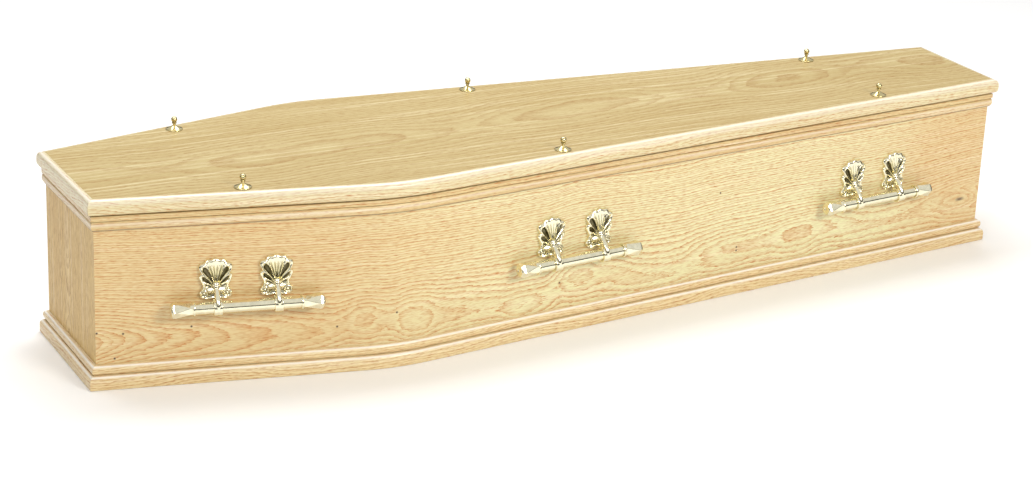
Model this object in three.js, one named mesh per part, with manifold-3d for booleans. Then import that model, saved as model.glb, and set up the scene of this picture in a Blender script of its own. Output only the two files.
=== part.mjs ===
// A wooden coffin of the shouldered shape: a hollow box of veneered board with a loose lid, mitred
// mouldings round its foot, rim and lid, six turned lid screws and six bar handles.
// Millimetres. X runs from the head end to the foot end, Y across and Z up, and the origin is on the
// floor under the middle of the box. Left and right are as seen from the foot end: left is -Y.
import * as THREE from "three";
import { mergeVertices } from "three/addons/utils/BufferGeometryUtils.js";
import Module from "manifold-3d";

const wasm = await Module();
wasm.setup();

// The box, over the outer faces of its boards
const BODY_LENGTH = 1900;
const BODY_HEIGHT = 318;
const HEAD_WIDTH = 260;
const SHOULDER_WIDTH = 480;
const FOOT_WIDTH = 235;
const SHOULDER_FROM_HEAD = 517;
const SHOULDER_BEND_RADIUS = 400;
const BOARD_THICKNESS = 18;

// The lid board, and the rounded edging planted round it
const LID_THICKNESS = 28;
const LID_EDGE_REACH = 13;
const LID_NOSE_ROUND = 12;
const LID_UNDER_ROUND = 9;

// The moulding under the rim: a flat fillet over a groove over a bead
const RIM_DROP = 2;
const RIM_HEIGHT = 27;
const RIM_FILLET_HEIGHT = 9;
const RIM_REACH = 6;
const RIM_GROOVE_REACH = 3;
const RIM_BEAD_HEIGHT = 15;

// The moulding round the foot of the box: a bead over a groove over a rounded plinth
const BASE_HEIGHT = 43;
const BASE_REACH = 15;
const BASE_FACE_HEIGHT = 13;
const BASE_GROOVE_REACH = 5.5;
const BASE_GROOVE_HEIGHT = 25;
const BASE_BEAD_REACH = 9.5;
const BASE_BEAD_HEIGHT = 15;
const ARRIS = 1.5;

// The lid screws: a spread foot, a stem with a small collar, and a ball
const SCREW_INSET = 17;
const SCREW_FOOT_RADIUS = 15.5;
const SCREW_FOOT_HEIGHT = 8;
const SCREW_STEM_RADIUS = 2.8;
const SCREW_STEM_HEIGHT = 5.5;
const SCREW_COLLAR_RADIUS = 4.6;
const SCREW_BALL_RADIUS = 5.8;
const SCREW_FROM_HEAD = 255;
const SCREW_PAST_SHOULDER = 350;
const SCREW_FROM_FOOT = 285;

// The handles: a bar in two brackets, with a flared tip on each end
const HANDLE_FROM_HEAD = 254;
const HANDLE_PAST_SHOULDER = 374;
const HANDLE_FROM_FOOT = 295;
const BAR_BELOW_MIDDLE = 22;
const BAR_RADIUS = 10.5;
const BAR_LENGTH = 198;
const BAR_STAND_OFF = 24;
const BRACKET_SPACING = 106;
const RING_WALL = 3.8;
const RING_WIDTH = 15.5;
const ARM_WIDTH = 9.5;
const ARM_ROOT_ABOVE_BAR = 33;
const ARM_KNUCKLE = 8;

// The leaf plate of a bracket, from its root at the top of the arm. Each lobe has an angle from
// straight up, a reach from the root and a relief out from the side. A valley parts it from the lobe
// before, unless it is the second half of a broad one, as the scrolls at the bottom corners are.
const LEAF_LOBES = [
  { angle: 0, reach: 51, relief: 8 },
  { angle: 16, reach: 49.5, relief: 8 },
  { angle: 34, reach: 48, relief: 9 },
  { angle: 55, reach: 35.5, relief: 7.5 },
  { angle: 88, reach: 24.5, relief: 5.5 },
  { angle: 118, reach: 32, relief: 7.5 },
  { angle: 134, reach: 33, relief: 7.5, broad: true },
  { angle: 180, reach: 22.5, relief: 6 },
];
const LEAF_VALLEY_DEPTH = 3.4;
const LEAF_VALLEY_CUT = 2.4;
const LEAF_EDGE = 2.5;
const LEAF_CROWN = 9;
const LEAF_SLOPE_AT = 0.84;
const LEAF_THROAT_AT = 0.42;

// The tips: a collar round the end of the bar, a neck, and a six-sided flare with a dimpled end
const TIP_LENGTH = 42;
const TIP_SOCKET_DEPTH = 7;
const TIP_WALL = 1.3;
const TIP_COLLAR_REACH = 2.8;
const TIP_COLLAR_WIDTH = 4;
const TIP_FLARE = 4;
const TIP_END_LENGTH = 9;
const TIP_END_RADIUS = 8.5;
const TIP_DIMPLE_RADIUS = 5;
const TIP_DIMPLE_DEPTH = 2;

// The gap left between two pieces that touch, and the play of the bar in what holds it
const SEAM = 0.3;
const BAR_PLAY = 0.3;

// How finely curves are cut into flats
const BEND_STEPS = 6;
const CURVE_STEPS = 3;
const TURNED_SIDES = 8;
const BAR_SIDES = 12;

const HEAD = -1;
const FOOT = 1;
const LEFT = -1;
const RIGHT = 1;
const ENDS = [[HEAD, "head"], [FOOT, "foot"]];
const SIDES = [[LEFT, "left"], [RIGHT, "right"]];

const LID_UNDERSIDE = BODY_HEIGHT + SEAM;
const LID_TOP = LID_UNDERSIDE + LID_THICKNESS;
const RIM_TOP = BODY_HEIGHT - RIM_DROP;
const RIM_BOTTOM = RIM_TOP - RIM_HEIGHT;
const BAR_HEIGHT = (BASE_HEIGHT + RIM_BOTTOM) / 2 - BAR_BELOW_MIDDLE;

const oak = new THREE.MeshStandardMaterial({ color: 0xe3c48c, roughness: 0.5, metalness: 0 });
const lidOak = new THREE.MeshStandardMaterial({ color: 0xd6bb82, roughness: 0.45, metalness: 0 });
const mouldingOak = new THREE.MeshStandardMaterial({ color: 0xe8cf9c, roughness: 0.45, metalness: 0 });
const brass = new THREE.MeshStandardMaterial({ color: 0xd9cf96, roughness: 0.2, metalness: 1 });
const oldBrass = new THREE.MeshStandardMaterial({ color: 0x9b8448, roughness: 0.3, metalness: 1 });

const point = (x, y) => new THREE.Vector2(x, y);

// A straight stretch of the right side's outer face in plan, with the direction that faces out
function stretch(from, to) {
  const along = to.clone().sub(from).normalize();
  return { from, along, out: point(-along.y, along.x) };
}

const headCorner = point(-BODY_LENGTH / 2, HEAD_WIDTH / 2);
const shoulder = point(SHOULDER_FROM_HEAD - BODY_LENGTH / 2, SHOULDER_WIDTH / 2);
const footCorner = point(BODY_LENGTH / 2, FOOT_WIDTH / 2);
const headStretch = stretch(headCorner, shoulder);
const footStretch = stretch(shoulder, footCorner);

// Where a stretch, moved out by reach, passes x
function pointAt(line, reach, x) {
  const start = line.from.clone().addScaledVector(line.out, reach);
  return start.addScaledVector(line.along, (x - start.x) / line.along.x);
}

// The right side in plan, moved out by reach, from the head end to the foot end. Its two straight
// stretches are joined by the bend at the shoulder, and it ends endReach past each end of the box.
function sideLine(reach, endReach) {
  const headAngle = headStretch.out.angle();
  const footAngle = footStretch.out.angle();
  const tangent = SHOULDER_BEND_RADIUS * Math.tan((headAngle - footAngle) / 2);
  const centre = shoulder
    .clone()
    .addScaledVector(headStretch.along, -tangent)
    .addScaledVector(headStretch.out, -SHOULDER_BEND_RADIUS);
  const bend = Array.from({ length: BEND_STEPS + 1 }, (_, i) => {
    const angle = headAngle + ((footAngle - headAngle) * i) / BEND_STEPS;
    const radius = SHOULDER_BEND_RADIUS + reach;
    return point(Math.cos(angle), Math.sin(angle)).multiplyScalar(radius).add(centre);
  });
  return [
    pointAt(headStretch, reach, headCorner.x - endReach),
    ...bend,
    pointAt(footStretch, reach, footCorner.x + endReach),
  ];
}

// The way round the box that a side piece takes at each reach. endReach gives its ends from its reach.
function sidePath(side, endReach) {
  return (reach) => {
    const line = sideLine(reach, endReach(reach)).map((p) => point(p.x, side * p.y));
    return side === RIGHT ? line : line.reverse();
  };
}

// The way across an end of the box, from mitre to mitre
function endPath(end) {
  return (reach) => {
    const corner = sideLine(reach, reach).at(end === HEAD ? 0 : -1);
    const across = [point(corner.x, -corner.y), corner];
    return end === HEAD ? across : across.reverse();
  };
}

// A closed body through rings of points that all follow one flat outline
function loft(rings, outline) {
  const count = outline.length;
  const last = (rings.length - 1) * count;
  const index = [];
  for (let start = 0; start < last; start += count) {
    for (let i = 0; i < count; i++) {
      const a = start + i;
      const b = start + ((i + 1) % count);
      index.push(a, b, b + count, a, b + count, a + count);
    }
  }
  for (const [a, b, c] of THREE.ShapeUtils.triangulateShape(outline, [])) {
    index.push(a, c, b, last + a, last + b, last + c);
  }
  return new THREE.BufferGeometry().setFromPoints(rings.flat()).setIndex(index);
}

// An outline of (reach, height) points carried along a path round the box
function carried(outline, path) {
  const lines = outline.map((p) => path(p.x));
  const rings = lines[0].map((_, station) =>
    outline.map((p, i) => new THREE.Vector3(lines[i][station].x, lines[i][station].y, p.y)),
  );
  return loft(rings, outline);
}

// The whole box in plan, moved out by reach
function planShape(reach) {
  const right = sideLine(reach, reach);
  const left = right.map((p) => point(p.x, -p.y)).reverse();
  return new THREE.Shape([...right, ...left]);
}

// A flat board of a plan shape, from its underside up
function boardGeometry(shape, underside, thickness) {
  const geometry = new THREE.ExtrudeGeometry(shape, { depth: thickness, bevelEnabled: false });
  return geometry.translate(0, 0, underside);
}

function sideBoardOutline() {
  return [
    point(-BOARD_THICKNESS, 0),
    point(0, 0),
    point(0, BODY_HEIGHT),
    point(-BOARD_THICKNESS, BODY_HEIGHT),
  ];
}

// An end board stands between the side boards, with its edges cut to their slant
function endBoardShape(end) {
  const at = end === HEAD ? 0 : -1;
  const outer = sideLine(-BOARD_THICKNESS - SEAM, 0).at(at);
  const inner = sideLine(-BOARD_THICKNESS - SEAM, -BOARD_THICKNESS).at(at);
  return new THREE.Shape([
    outer,
    inner,
    point(inner.x, -inner.y),
    point(outer.x, -outer.y),
  ]);
}

function baseMouldingOutline() {
  const beadMiddle = BASE_GROOVE_HEIGHT + ARRIS + BASE_BEAD_HEIGHT / 2;
  const beadReach = BASE_BEAD_REACH - BASE_GROOVE_REACH;
  const shape = new THREE.Shape();
  shape.moveTo(SEAM, 0);
  shape.lineTo(BASE_REACH - ARRIS, 0);
  shape.lineTo(BASE_REACH, ARRIS);
  shape.lineTo(BASE_REACH, BASE_FACE_HEIGHT);
  shape.quadraticCurveTo(BASE_REACH, BASE_GROOVE_HEIGHT, BASE_GROOVE_REACH, BASE_GROOVE_HEIGHT);
  shape.lineTo(BASE_GROOVE_REACH, beadMiddle - BASE_BEAD_HEIGHT / 2);
  shape.absellipse(
    BASE_GROOVE_REACH, beadMiddle, beadReach, BASE_BEAD_HEIGHT / 2, -Math.PI / 2, Math.PI / 2,
  );
  shape.lineTo(SEAM, BASE_HEIGHT);
  return shape.getPoints(CURVE_STEPS);
}

function rimMouldingOutline() {
  const beadMiddle = RIM_BOTTOM + ARRIS + RIM_BEAD_HEIGHT / 2;
  const beadReach = RIM_REACH - RIM_GROOVE_REACH;
  const filletBottom = RIM_TOP - RIM_FILLET_HEIGHT;
  const shape = new THREE.Shape();
  shape.moveTo(SEAM, RIM_BOTTOM);
  shape.lineTo(RIM_GROOVE_REACH, RIM_BOTTOM);
  shape.absellipse(
    RIM_GROOVE_REACH, beadMiddle, beadReach, RIM_BEAD_HEIGHT / 2, -Math.PI / 2, Math.PI / 2,
  );
  shape.lineTo(RIM_GROOVE_REACH, filletBottom - ARRIS);
  shape.lineTo(RIM_REACH, filletBottom);
  shape.lineTo(RIM_REACH, RIM_TOP - ARRIS);
  shape.lineTo(RIM_REACH - ARRIS, RIM_TOP);
  shape.lineTo(SEAM, RIM_TOP);
  return shape.getPoints(CURVE_STEPS);
}

function lidEdgeOutline() {
  const shape = new THREE.Shape();
  shape.moveTo(SEAM, LID_UNDERSIDE);
  shape.lineTo(LID_EDGE_REACH - LID_UNDER_ROUND, LID_UNDERSIDE);
  shape.quadraticCurveTo(
    LID_EDGE_REACH, LID_UNDERSIDE, LID_EDGE_REACH, LID_UNDERSIDE + LID_UNDER_ROUND,
  );
  shape.lineTo(LID_EDGE_REACH, LID_TOP - LID_NOSE_ROUND);
  shape.quadraticCurveTo(LID_EDGE_REACH, LID_TOP, LID_EDGE_REACH - LID_NOSE_ROUND, LID_TOP);
  shape.lineTo(SEAM, LID_TOP);
  return shape.getPoints(CURVE_STEPS);
}

// A turned lid screw, standing on its foot at z = 0
function screwGeometry() {
  const collarHeight = SCREW_FOOT_HEIGHT + SCREW_STEM_HEIGHT;
  const ballStart = Math.asin(SCREW_STEM_RADIUS / SCREW_BALL_RADIUS);
  const ballMiddle = collarHeight + SCREW_BALL_RADIUS * Math.cos(ballStart);
  const profile = new THREE.Path();
  profile.moveTo(0, 0);
  profile.lineTo(SCREW_FOOT_RADIUS, 0);
  profile.lineTo(SCREW_FOOT_RADIUS, ARRIS);
  profile.quadraticCurveTo(
    SCREW_FOOT_RADIUS / 2, SCREW_FOOT_HEIGHT / 2, SCREW_STEM_RADIUS, SCREW_FOOT_HEIGHT,
  );
  profile.lineTo(SCREW_STEM_RADIUS, collarHeight - ARRIS);
  profile.lineTo(SCREW_COLLAR_RADIUS, collarHeight);
  profile.absarc(0, ballMiddle, SCREW_BALL_RADIUS, ballStart - Math.PI / 2, Math.PI / 2);
  const turned = new THREE.LatheGeometry(profile.getPoints(CURVE_STEPS), TURNED_SIDES);
  return turned.rotateX(Math.PI / 2);
}

// A closed mesh as a solid that can be joined and cut, and back again
function solidOf(geometry) {
  const bare = geometry.index ? geometry.clone() : mergeVertices(geometry);
  for (const name of Object.keys(bare.attributes)) {
    if (name !== "position") bare.deleteAttribute(name);
  }
  const merged = mergeVertices(bare);
  return new wasm.Manifold(
    new wasm.Mesh({
      numProp: 3,
      vertProperties: new Float32Array(merged.attributes.position.array),
      triVerts: new Uint32Array(merged.index.array),
    }),
  );
}

function geometryOf(solid) {
  const mesh = solid.getMesh();
  return new THREE.BufferGeometry()
    .setAttribute("position", new THREE.BufferAttribute(mesh.vertProperties, 3))
    .setIndex(new THREE.BufferAttribute(mesh.triVerts, 1));
}

// A solid cylinder along X, centred at (0, y, 0)
function rodGeometry(radius, length, y) {
  const rod = new THREE.CylinderGeometry(radius, radius, length, BAR_SIDES);
  return rod.rotateZ(Math.PI / 2).translate(0, y, 0);
}

// The lobes of the leaf and the valleys between them, all the way round its root
function leafSpokes() {
  const half = LEAF_LOBES.flatMap((lobe, i) => {
    if (i === 0 || lobe.broad) return [lobe];
    const before = LEAF_LOBES[i - 1];
    const valley = {
      angle: (lobe.angle + before.angle) / 2,
      reach: (lobe.reach + before.reach) / 2 - LEAF_VALLEY_CUT,
      relief: (lobe.relief + before.relief) / 2 - LEAF_VALLEY_DEPTH,
    };
    return [valley, lobe];
  });
  const other = half.slice(1, -1).map((spoke) => ({ ...spoke, angle: -spoke.angle }));
  return [...half, ...other.reverse()];
}

// The leaf plate: a crowned, fluted leaf with a scalloped outline and a flat back against the side
function leafGeometry() {
  const spokes = leafSpokes();
  const onSpoke = (spoke, share, out) => {
    const angle = THREE.MathUtils.degToRad(spoke.angle);
    const run = spoke.reach * share;
    return new THREE.Vector3(
      -run * Math.sin(angle), out, ARM_ROOT_ABOVE_BAR + run * Math.cos(angle),
    );
  };
  const rings = [
    spokes.map((s) => onSpoke(s, 1, SEAM)),
    spokes.map((s) => onSpoke(s, 1, LEAF_EDGE)),
    spokes.map((s) => onSpoke(s, LEAF_SLOPE_AT, s.relief)),
    spokes.map((s) => onSpoke(s, LEAF_THROAT_AT, (s.relief + LEAF_CROWN) / 2)),
  ];
  const crown = new THREE.Vector3(0, LEAF_CROWN, ARM_ROOT_ABOVE_BAR);
  const count = spokes.length;
  const index = [];
  for (let ring = 0; ring + 1 < rings.length; ring++) {
    for (let i = 0; i < count; i++) {
      const a = ring * count + i;
      const b = ring * count + ((i + 1) % count);
      index.push(a, a + count, b + count, a, b + count, b);
    }
  }
  const throat = (rings.length - 1) * count;
  const back = THREE.ShapeUtils.triangulateShape(rings[0].map((p) => point(p.x, p.z)), []);
  for (const [a, b, c] of back) index.push(a, b, c);
  for (let i = 0; i < count; i++) {
    index.push(throat + i, rings.length * count, throat + ((i + 1) % count));
  }
  return new THREE.BufferGeometry().setFromPoints([...rings.flat(), crown]).setIndex(index);
}

// The arm: a web from the root of the leaf, over a knuckle, down to the front of the ring
function armGeometry() {
  const ringRadius = BAR_RADIUS + BAR_PLAY + RING_WALL;
  const front = BAR_STAND_OFF + ringRadius;
  const shape = new THREE.Shape();
  shape.moveTo(LEAF_EDGE, ARM_ROOT_ABOVE_BAR - ringRadius);
  shape.lineTo(BAR_STAND_OFF - ringRadius, 0);
  shape.lineTo(front, 0);
  shape.quadraticCurveTo(
    front, ringRadius + ARRIS, BAR_STAND_OFF - ringRadius / 2, ARM_ROOT_ABOVE_BAR,
  );
  shape.quadraticCurveTo(
    ARM_KNUCKLE * 2, ARM_ROOT_ABOVE_BAR + ARM_KNUCKLE, LEAF_EDGE, ARM_ROOT_ABOVE_BAR + ARM_KNUCKLE,
  );
  const web = new THREE.ExtrudeGeometry(shape, {
    depth: ARM_WIDTH,
    bevelEnabled: false,
    curveSegments: CURVE_STEPS,
  });
  const turn = new THREE.Matrix4().makeBasis(
    new THREE.Vector3(0, 1, 0), new THREE.Vector3(0, 0, 1), new THREE.Vector3(1, 0, 0),
  );
  return web.translate(0, 0, -ARM_WIDTH / 2).applyMatrix4(turn);
}

// A bracket is one casting: leaf plate, arm, and a ring with a clear bore for the bar.
// X runs along the bar, Y out from the side and Z up from the bar's axis.
function bracketGeometry() {
  const ring = rodGeometry(BAR_RADIUS + BAR_PLAY + RING_WALL, RING_WIDTH, BAR_STAND_OFF);
  const bore = rodGeometry(BAR_RADIUS + BAR_PLAY, RING_WIDTH * 2, BAR_STAND_OFF);
  const casting = solidOf(leafGeometry()).add(solidOf(armGeometry())).add(solidOf(ring));
  return geometryOf(casting.subtract(solidOf(bore)));
}

// A tip along X, from the mouth of its socket at x = 0. Its flare turns from round to six-sided.
function tipGeometry() {
  const socketRadius = BAR_RADIUS + BAR_PLAY;
  const neckRadius = socketRadius + TIP_WALL;
  const collarRadius = BAR_RADIUS + TIP_COLLAR_REACH;
  const flareRadius = BAR_RADIUS + TIP_FLARE;
  const flareAt = TIP_LENGTH - TIP_END_LENGTH;
  const stations = [
    { x: TIP_SOCKET_DEPTH, radius: socketRadius },
    { x: 0, radius: socketRadius },
    { x: 0, radius: collarRadius },
    { x: TIP_COLLAR_WIDTH, radius: collarRadius },
    { x: TIP_COLLAR_WIDTH + TIP_WALL, radius: neckRadius },
    { x: flareAt, radius: flareRadius, flat: Math.cos(Math.PI / 6) },
    { x: TIP_LENGTH, radius: TIP_END_RADIUS },
    { x: TIP_LENGTH - TIP_DIMPLE_DEPTH, radius: TIP_DIMPLE_RADIUS },
  ];
  const turns = Array.from({ length: BAR_SIDES }, (_, i) => (2 * Math.PI * i) / BAR_SIDES);
  const rings = stations.map(({ x, radius, flat = 1 }) =>
    turns.map((angle, i) => {
      const r = i % 2 ? radius * flat : radius;
      return new THREE.Vector3(x, r * Math.cos(angle), r * Math.sin(angle));
    }),
  );
  return loft(rings, rings[0].map((p) => point(p.y, p.z)));
}

const coffin = new THREE.Group();

function addPiece(name, geometry, material, parent = coffin) {
  const mesh = new THREE.Mesh(geometry, material);
  mesh.name = name;
  parent.add(mesh);
  return mesh;
}

// One handle on a side, at x along the box, with its names starting with place
function addHandle(place, side, line, x) {
  const seat = pointAt(line, 0, x);
  const handle = new THREE.Group();
  handle.position.set(seat.x, side * seat.y, BAR_HEIGHT);
  handle.rotation.z = Math.atan2(side * line.out.y, line.out.x) - Math.PI / 2;
  coffin.add(handle);
  addPiece(`${place}_bar`, rodGeometry(BAR_RADIUS, BAR_LENGTH, BAR_STAND_OFF), brass, handle);
  for (const [end, name] of ENDS) {
    const way = end * side;
    const bracket = addPiece(`${place}_bracket_${name}`, bracketGeometry(), brass, handle);
    bracket.position.x = (way * BRACKET_SPACING) / 2;
    const tip = addPiece(`${place}_tip_${name}`, tipGeometry(), brass, handle);
    const mouth = BAR_LENGTH / 2 + SEAM - TIP_SOCKET_DEPTH;
    tip.position.set(way * mouth, BAR_STAND_OFF, 0);
    tip.rotation.z = way > 0 ? 0 : Math.PI;
  }
}

// The box
const boardEnds = () => 0;
const mitredEnds = (reach) => reach - SEAM;
const insideReach = -BOARD_THICKNESS - SEAM;
addPiece("base_board", boardGeometry(planShape(insideReach), 0, BOARD_THICKNESS), oak);
addPiece("lid_board", boardGeometry(planShape(0), LID_UNDERSIDE, LID_THICKNESS), lidOak);
const mouldings = [
  ["base_moulding", baseMouldingOutline(), mouldingOak],
  ["rim_moulding", rimMouldingOutline(), mouldingOak],
  ["lid_edge", lidEdgeOutline(), mouldingOak],
];
for (const [side, name] of SIDES) {
  addPiece(`side_board_${name}`, carried(sideBoardOutline(), sidePath(side, boardEnds)), oak);
  for (const [kind, outline, material] of mouldings) {
    addPiece(`${kind}_${name}`, carried(outline, sidePath(side, mitredEnds)), material);
  }
}
for (const [end, name] of ENDS) {
  addPiece(`${name}_board`, boardGeometry(endBoardShape(end), 0, BODY_HEIGHT), oak);
  for (const [kind, outline, material] of mouldings) {
    addPiece(`${kind}_${name}`, carried(outline, endPath(end)), material);
  }
}

// The lid screws and the handles
const screwPlaces = [
  ["head", headStretch, headCorner.x + SCREW_FROM_HEAD],
  ["middle", footStretch, shoulder.x + SCREW_PAST_SHOULDER],
  ["foot", footStretch, footCorner.x - SCREW_FROM_FOOT],
];
const handlePlaces = [
  ["head", headStretch, headCorner.x + HANDLE_FROM_HEAD],
  ["middle", footStretch, shoulder.x + HANDLE_PAST_SHOULDER],
  ["foot", footStretch, footCorner.x - HANDLE_FROM_FOOT],
];
for (const [side, sideName] of SIDES) {
  for (const [name, line, x] of screwPlaces) {
    const seat = pointAt(line, -SCREW_INSET, x);
    const screw = addPiece(`lid_screw_${sideName}_${name}`, screwGeometry(), oldBrass);
    screw.position.set(seat.x, side * seat.y, LID_TOP + SEAM);
  }
  for (const [name, line, x] of handlePlaces) {
    addHandle(`handle_${sideName}_${name}`, side, line, x);
  }
}

export default coffin;
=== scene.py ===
"""The wooden coffin, dressed: smooth boards, mouldings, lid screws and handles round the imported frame.

Shapes are worked out in millimetres, in the frame's own axes, and put into Blender in metres. X runs from
the head end to the foot end, Y across and Z up. Left is -Y, the side that the camera sees.
"""
import sys
import logging
import math
from collections.abc import Iterator, Sequence
from dataclasses import dataclass, field, fields, replace
from enum import Enum
from typing import Any, Protocol

import bpy
import numpy as np
from mathutils import Matrix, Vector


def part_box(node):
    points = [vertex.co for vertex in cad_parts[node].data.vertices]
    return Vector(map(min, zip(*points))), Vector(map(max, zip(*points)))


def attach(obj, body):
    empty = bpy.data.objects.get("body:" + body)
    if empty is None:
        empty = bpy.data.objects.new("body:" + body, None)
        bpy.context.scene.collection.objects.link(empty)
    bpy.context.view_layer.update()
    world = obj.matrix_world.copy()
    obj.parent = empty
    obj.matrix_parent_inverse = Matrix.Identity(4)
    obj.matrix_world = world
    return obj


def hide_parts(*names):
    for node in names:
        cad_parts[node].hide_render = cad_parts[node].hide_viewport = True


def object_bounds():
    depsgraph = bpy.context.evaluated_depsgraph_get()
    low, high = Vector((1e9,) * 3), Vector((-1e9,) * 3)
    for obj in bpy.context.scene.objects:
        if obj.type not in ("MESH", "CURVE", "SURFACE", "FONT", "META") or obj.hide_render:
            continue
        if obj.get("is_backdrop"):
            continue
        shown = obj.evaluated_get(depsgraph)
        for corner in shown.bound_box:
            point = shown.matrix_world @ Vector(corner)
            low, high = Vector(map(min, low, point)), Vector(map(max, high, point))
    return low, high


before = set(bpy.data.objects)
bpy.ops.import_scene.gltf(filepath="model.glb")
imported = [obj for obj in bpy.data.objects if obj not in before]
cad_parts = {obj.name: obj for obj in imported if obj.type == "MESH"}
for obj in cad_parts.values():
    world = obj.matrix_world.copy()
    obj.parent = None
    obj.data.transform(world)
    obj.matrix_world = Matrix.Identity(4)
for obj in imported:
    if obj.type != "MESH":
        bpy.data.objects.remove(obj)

Array = np.ndarray
Socket = bpy.types.NodeSocket
# The one body, which every piece rides on
BODY = "root"
# A millimetre in metres, and the scale that turns metres to millimetres
MM = 0.001
PER_MM = (1 / MM, 1 / MM, 1 / MM)
# The photograph's size, in pixels
PHOTO_WIDTH = 1033
PHOTO_HEIGHT = 487
# The UV map and the attribute of painted shade and painted highlights that a skin gives its mesh, and the
# angle from which its edges are sharp
GRAIN_MAP = "grain"
RECESS = "recess"
SHARP_ANGLE = math.radians(40)
# The gap left behind and between pieces that are planted together, in millimetres
SEAM = 0.3
# A handle bar's radius, the play round it in its rings and tips, and how far its axis stands off the side
BAR_RADIUS = 10.5
BAR_PLAY = 0.3
STAND_OFF = 24.0

# The kinds of shader node used most, and the sockets of a colour mix
MATH = "ShaderNodeMath"
RANGE = "ShaderNodeMapRange"
NOISE = "ShaderNodeTexNoise"
MIX = "ShaderNodeMix"
MIX_A = 6
MIX_B = 7
MIX_RESULT = 2

log = logging.getLogger("coffin")


class Side(Enum):
    """A long side of the box, by the sign of its Y."""

    LEFT = -1
    RIGHT = 1


class End(Enum):
    """An end of the box, or of a handle, by the sign of its X."""

    HEAD = -1
    FOOT = 1


class Place(Enum):
    """Where a fitting stands along a side."""

    HEAD = "head"
    MIDDLE = "middle"
    FOOT = "foot"


class Slot(Enum):
    """The record's material slots of the pieces that are made here."""

    BOARD = "oak_board"
    MOULDING = "oak_moulding"
    HANDLE = "handle_brass"
    SCREW = "screw_brass"


class Grain(Enum):
    """The way that the grain of a piece runs."""

    ALONG_PIECE = "by the piece's own map"
    LENGTHWISE = "along X"
    UPRIGHT = "along Z"


def label(option: Enum) -> str:
    """The lower-case name of an option, as the nodes' names have it."""
    return option.name.lower()


def linear(colour: str) -> tuple[float, float, float, float]:
    """Turn an sRGB hex colour to linear light.

    Args:
        colour: The colour as "#rrggbb".

    Returns:
        Red, green, blue and an alpha of 1.
    """
    shares = np.array([int(colour[i : i + 2], 16) for i in (1, 3, 5)]) / 255
    light = np.where(shares <= 0.04045, shares / 12.92, ((shares + 0.055) / 1.055) ** 2.4)
    return (*light.tolist(), 1.0)


@dataclass
class NodeGraph:
    """The shader nodes of one material, or of the world."""

    tree: bpy.types.NodeTree

    def add(
        self, kind: str, inputs: dict[int | str, Any] | None = None, output: int | str = 0, **settings: Any
    ) -> Socket | None:
        """Add a node with its settings and links.

        Args:
            kind: Blender's name for the kind of node.
            inputs: What each input socket takes, by its number or name: a socket to link, or a value.
            output: The output that is wanted, by its number or name.
            settings: The node's own properties.

        Returns:
            The wanted output, or nothing where the node has none.
        """
        node = self.tree.nodes.new(kind)
        for name, value in settings.items():
            setattr(node, name, value)
        for key, value in (inputs or {}).items():
            if isinstance(value, Socket):
                self.tree.links.new(value, node.inputs[key])
            else:
                node.inputs[key].default_value = value
        return node.outputs[output] if node.outputs else None


def empty_material(name: str) -> tuple[bpy.types.Material, NodeGraph]:
    """Make a material with no nodes yet.

    Args:
        name: The material's name.

    Returns:
        The material and its graph.
    """
    material = bpy.data.materials.new(name)
    material.use_nodes = True
    material.node_tree.nodes.clear()
    return material, NodeGraph(material.node_tree)


def cloud(
    graph: NodeGraph, place: Socket, spot: tuple[float, float], seed: float, detail: float = 2.0
) -> Socket:
    """Add soft noise from about -1 to 1, in spots drawn out along the grain.

    Args:
        graph: The graph that it goes into.
        place: Coordinates in millimetres, with the grain along the first.
        spot: How long and how wide a spot is, in millimetres.
        seed: Sets this noise apart from the others.
        detail: How many finer layers it has.

    Returns:
        The noise.
    """
    length, width = spot
    scaled = graph.add(
        "ShaderNodeMapping",
        {"Vector": place, "Location": (seed, seed, seed), "Scale": (1 / length, 1 / width, 1 / width)},
    )
    noise = graph.add(NOISE, {"Vector": scaled, "Scale": 1.0, "Detail": detail})
    return graph.add(RANGE, {0: noise, 1: 0.25, 2: 0.75, 3: -1.0, 4: 1.0}, clamp=False)


@dataclass(frozen=True)
class Mottle:
    """Soft noise in spots drawn out along the grain, turned to a share.

    Attributes:
        spot: How long and how wide a spot is, in millimetres.
        seed: Sets this noise apart from the others of its board.
        bounds: The noise where the share starts and where it ends to change.
        shares: The share at those bounds.
        detail: How many finer layers the noise has.
    """

    spot: tuple[float, float]
    seed: float
    bounds: tuple[float, float]
    shares: tuple[float, float] = (0.0, 1.0)
    detail: float = 2.0

    def share(self, graph: NodeGraph, place: Socket, board: float = 0.0) -> Socket:
        """Add the noise and its share.

        Args:
            graph: The graph that they go into.
            place: Coordinates in millimetres, with the grain along the first.
            board: The seed of the board.

        Returns:
            The share.
        """
        noise = cloud(graph, place, self.spot, board + self.seed, self.detail)
        (low, high), (least, most) = self.bounds, self.shares
        return graph.add(RANGE, {0: noise, 1: low, 2: high, 3: least, 4: most})


def course(graph: NodeGraph, along: Socket, points: Sequence[tuple[float, float]]) -> Socket:
    """Add a smooth curve through points.

    Args:
        graph: The graph that it goes into.
        along: The coordinate that it runs over.
        points: The (place, value) of each point, in order, with no value below 0.

    Returns:
        The curve's value at each place.
    """
    first, last = points[0][0], points[-1][0]
    top = max(value for _, value in points)
    share = graph.add(RANGE, {0: along, 1: first, 2: last})
    curve_value = graph.add("ShaderNodeFloatCurve", {"Value": share})
    mapping = curve_value.node.mapping
    spots = [((place - first) / (last - first), value / top) for place, value in points]
    knots = mapping.curves[0].points
    knots[0].location, knots[1].location = spots[0], spots[-1]
    for spot in spots[1:-1]:
        knots.new(*spot)
    mapping.update()
    return graph.add(MATH, {0: curve_value, 1: top}, operation="MULTIPLY")


# How far from the heart line its swerves start and end to fade, in millimetres, and the share left there
SWERVE_FADE = (12.0, 75.0)
SWERVE_LEFT = 0.15
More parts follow.
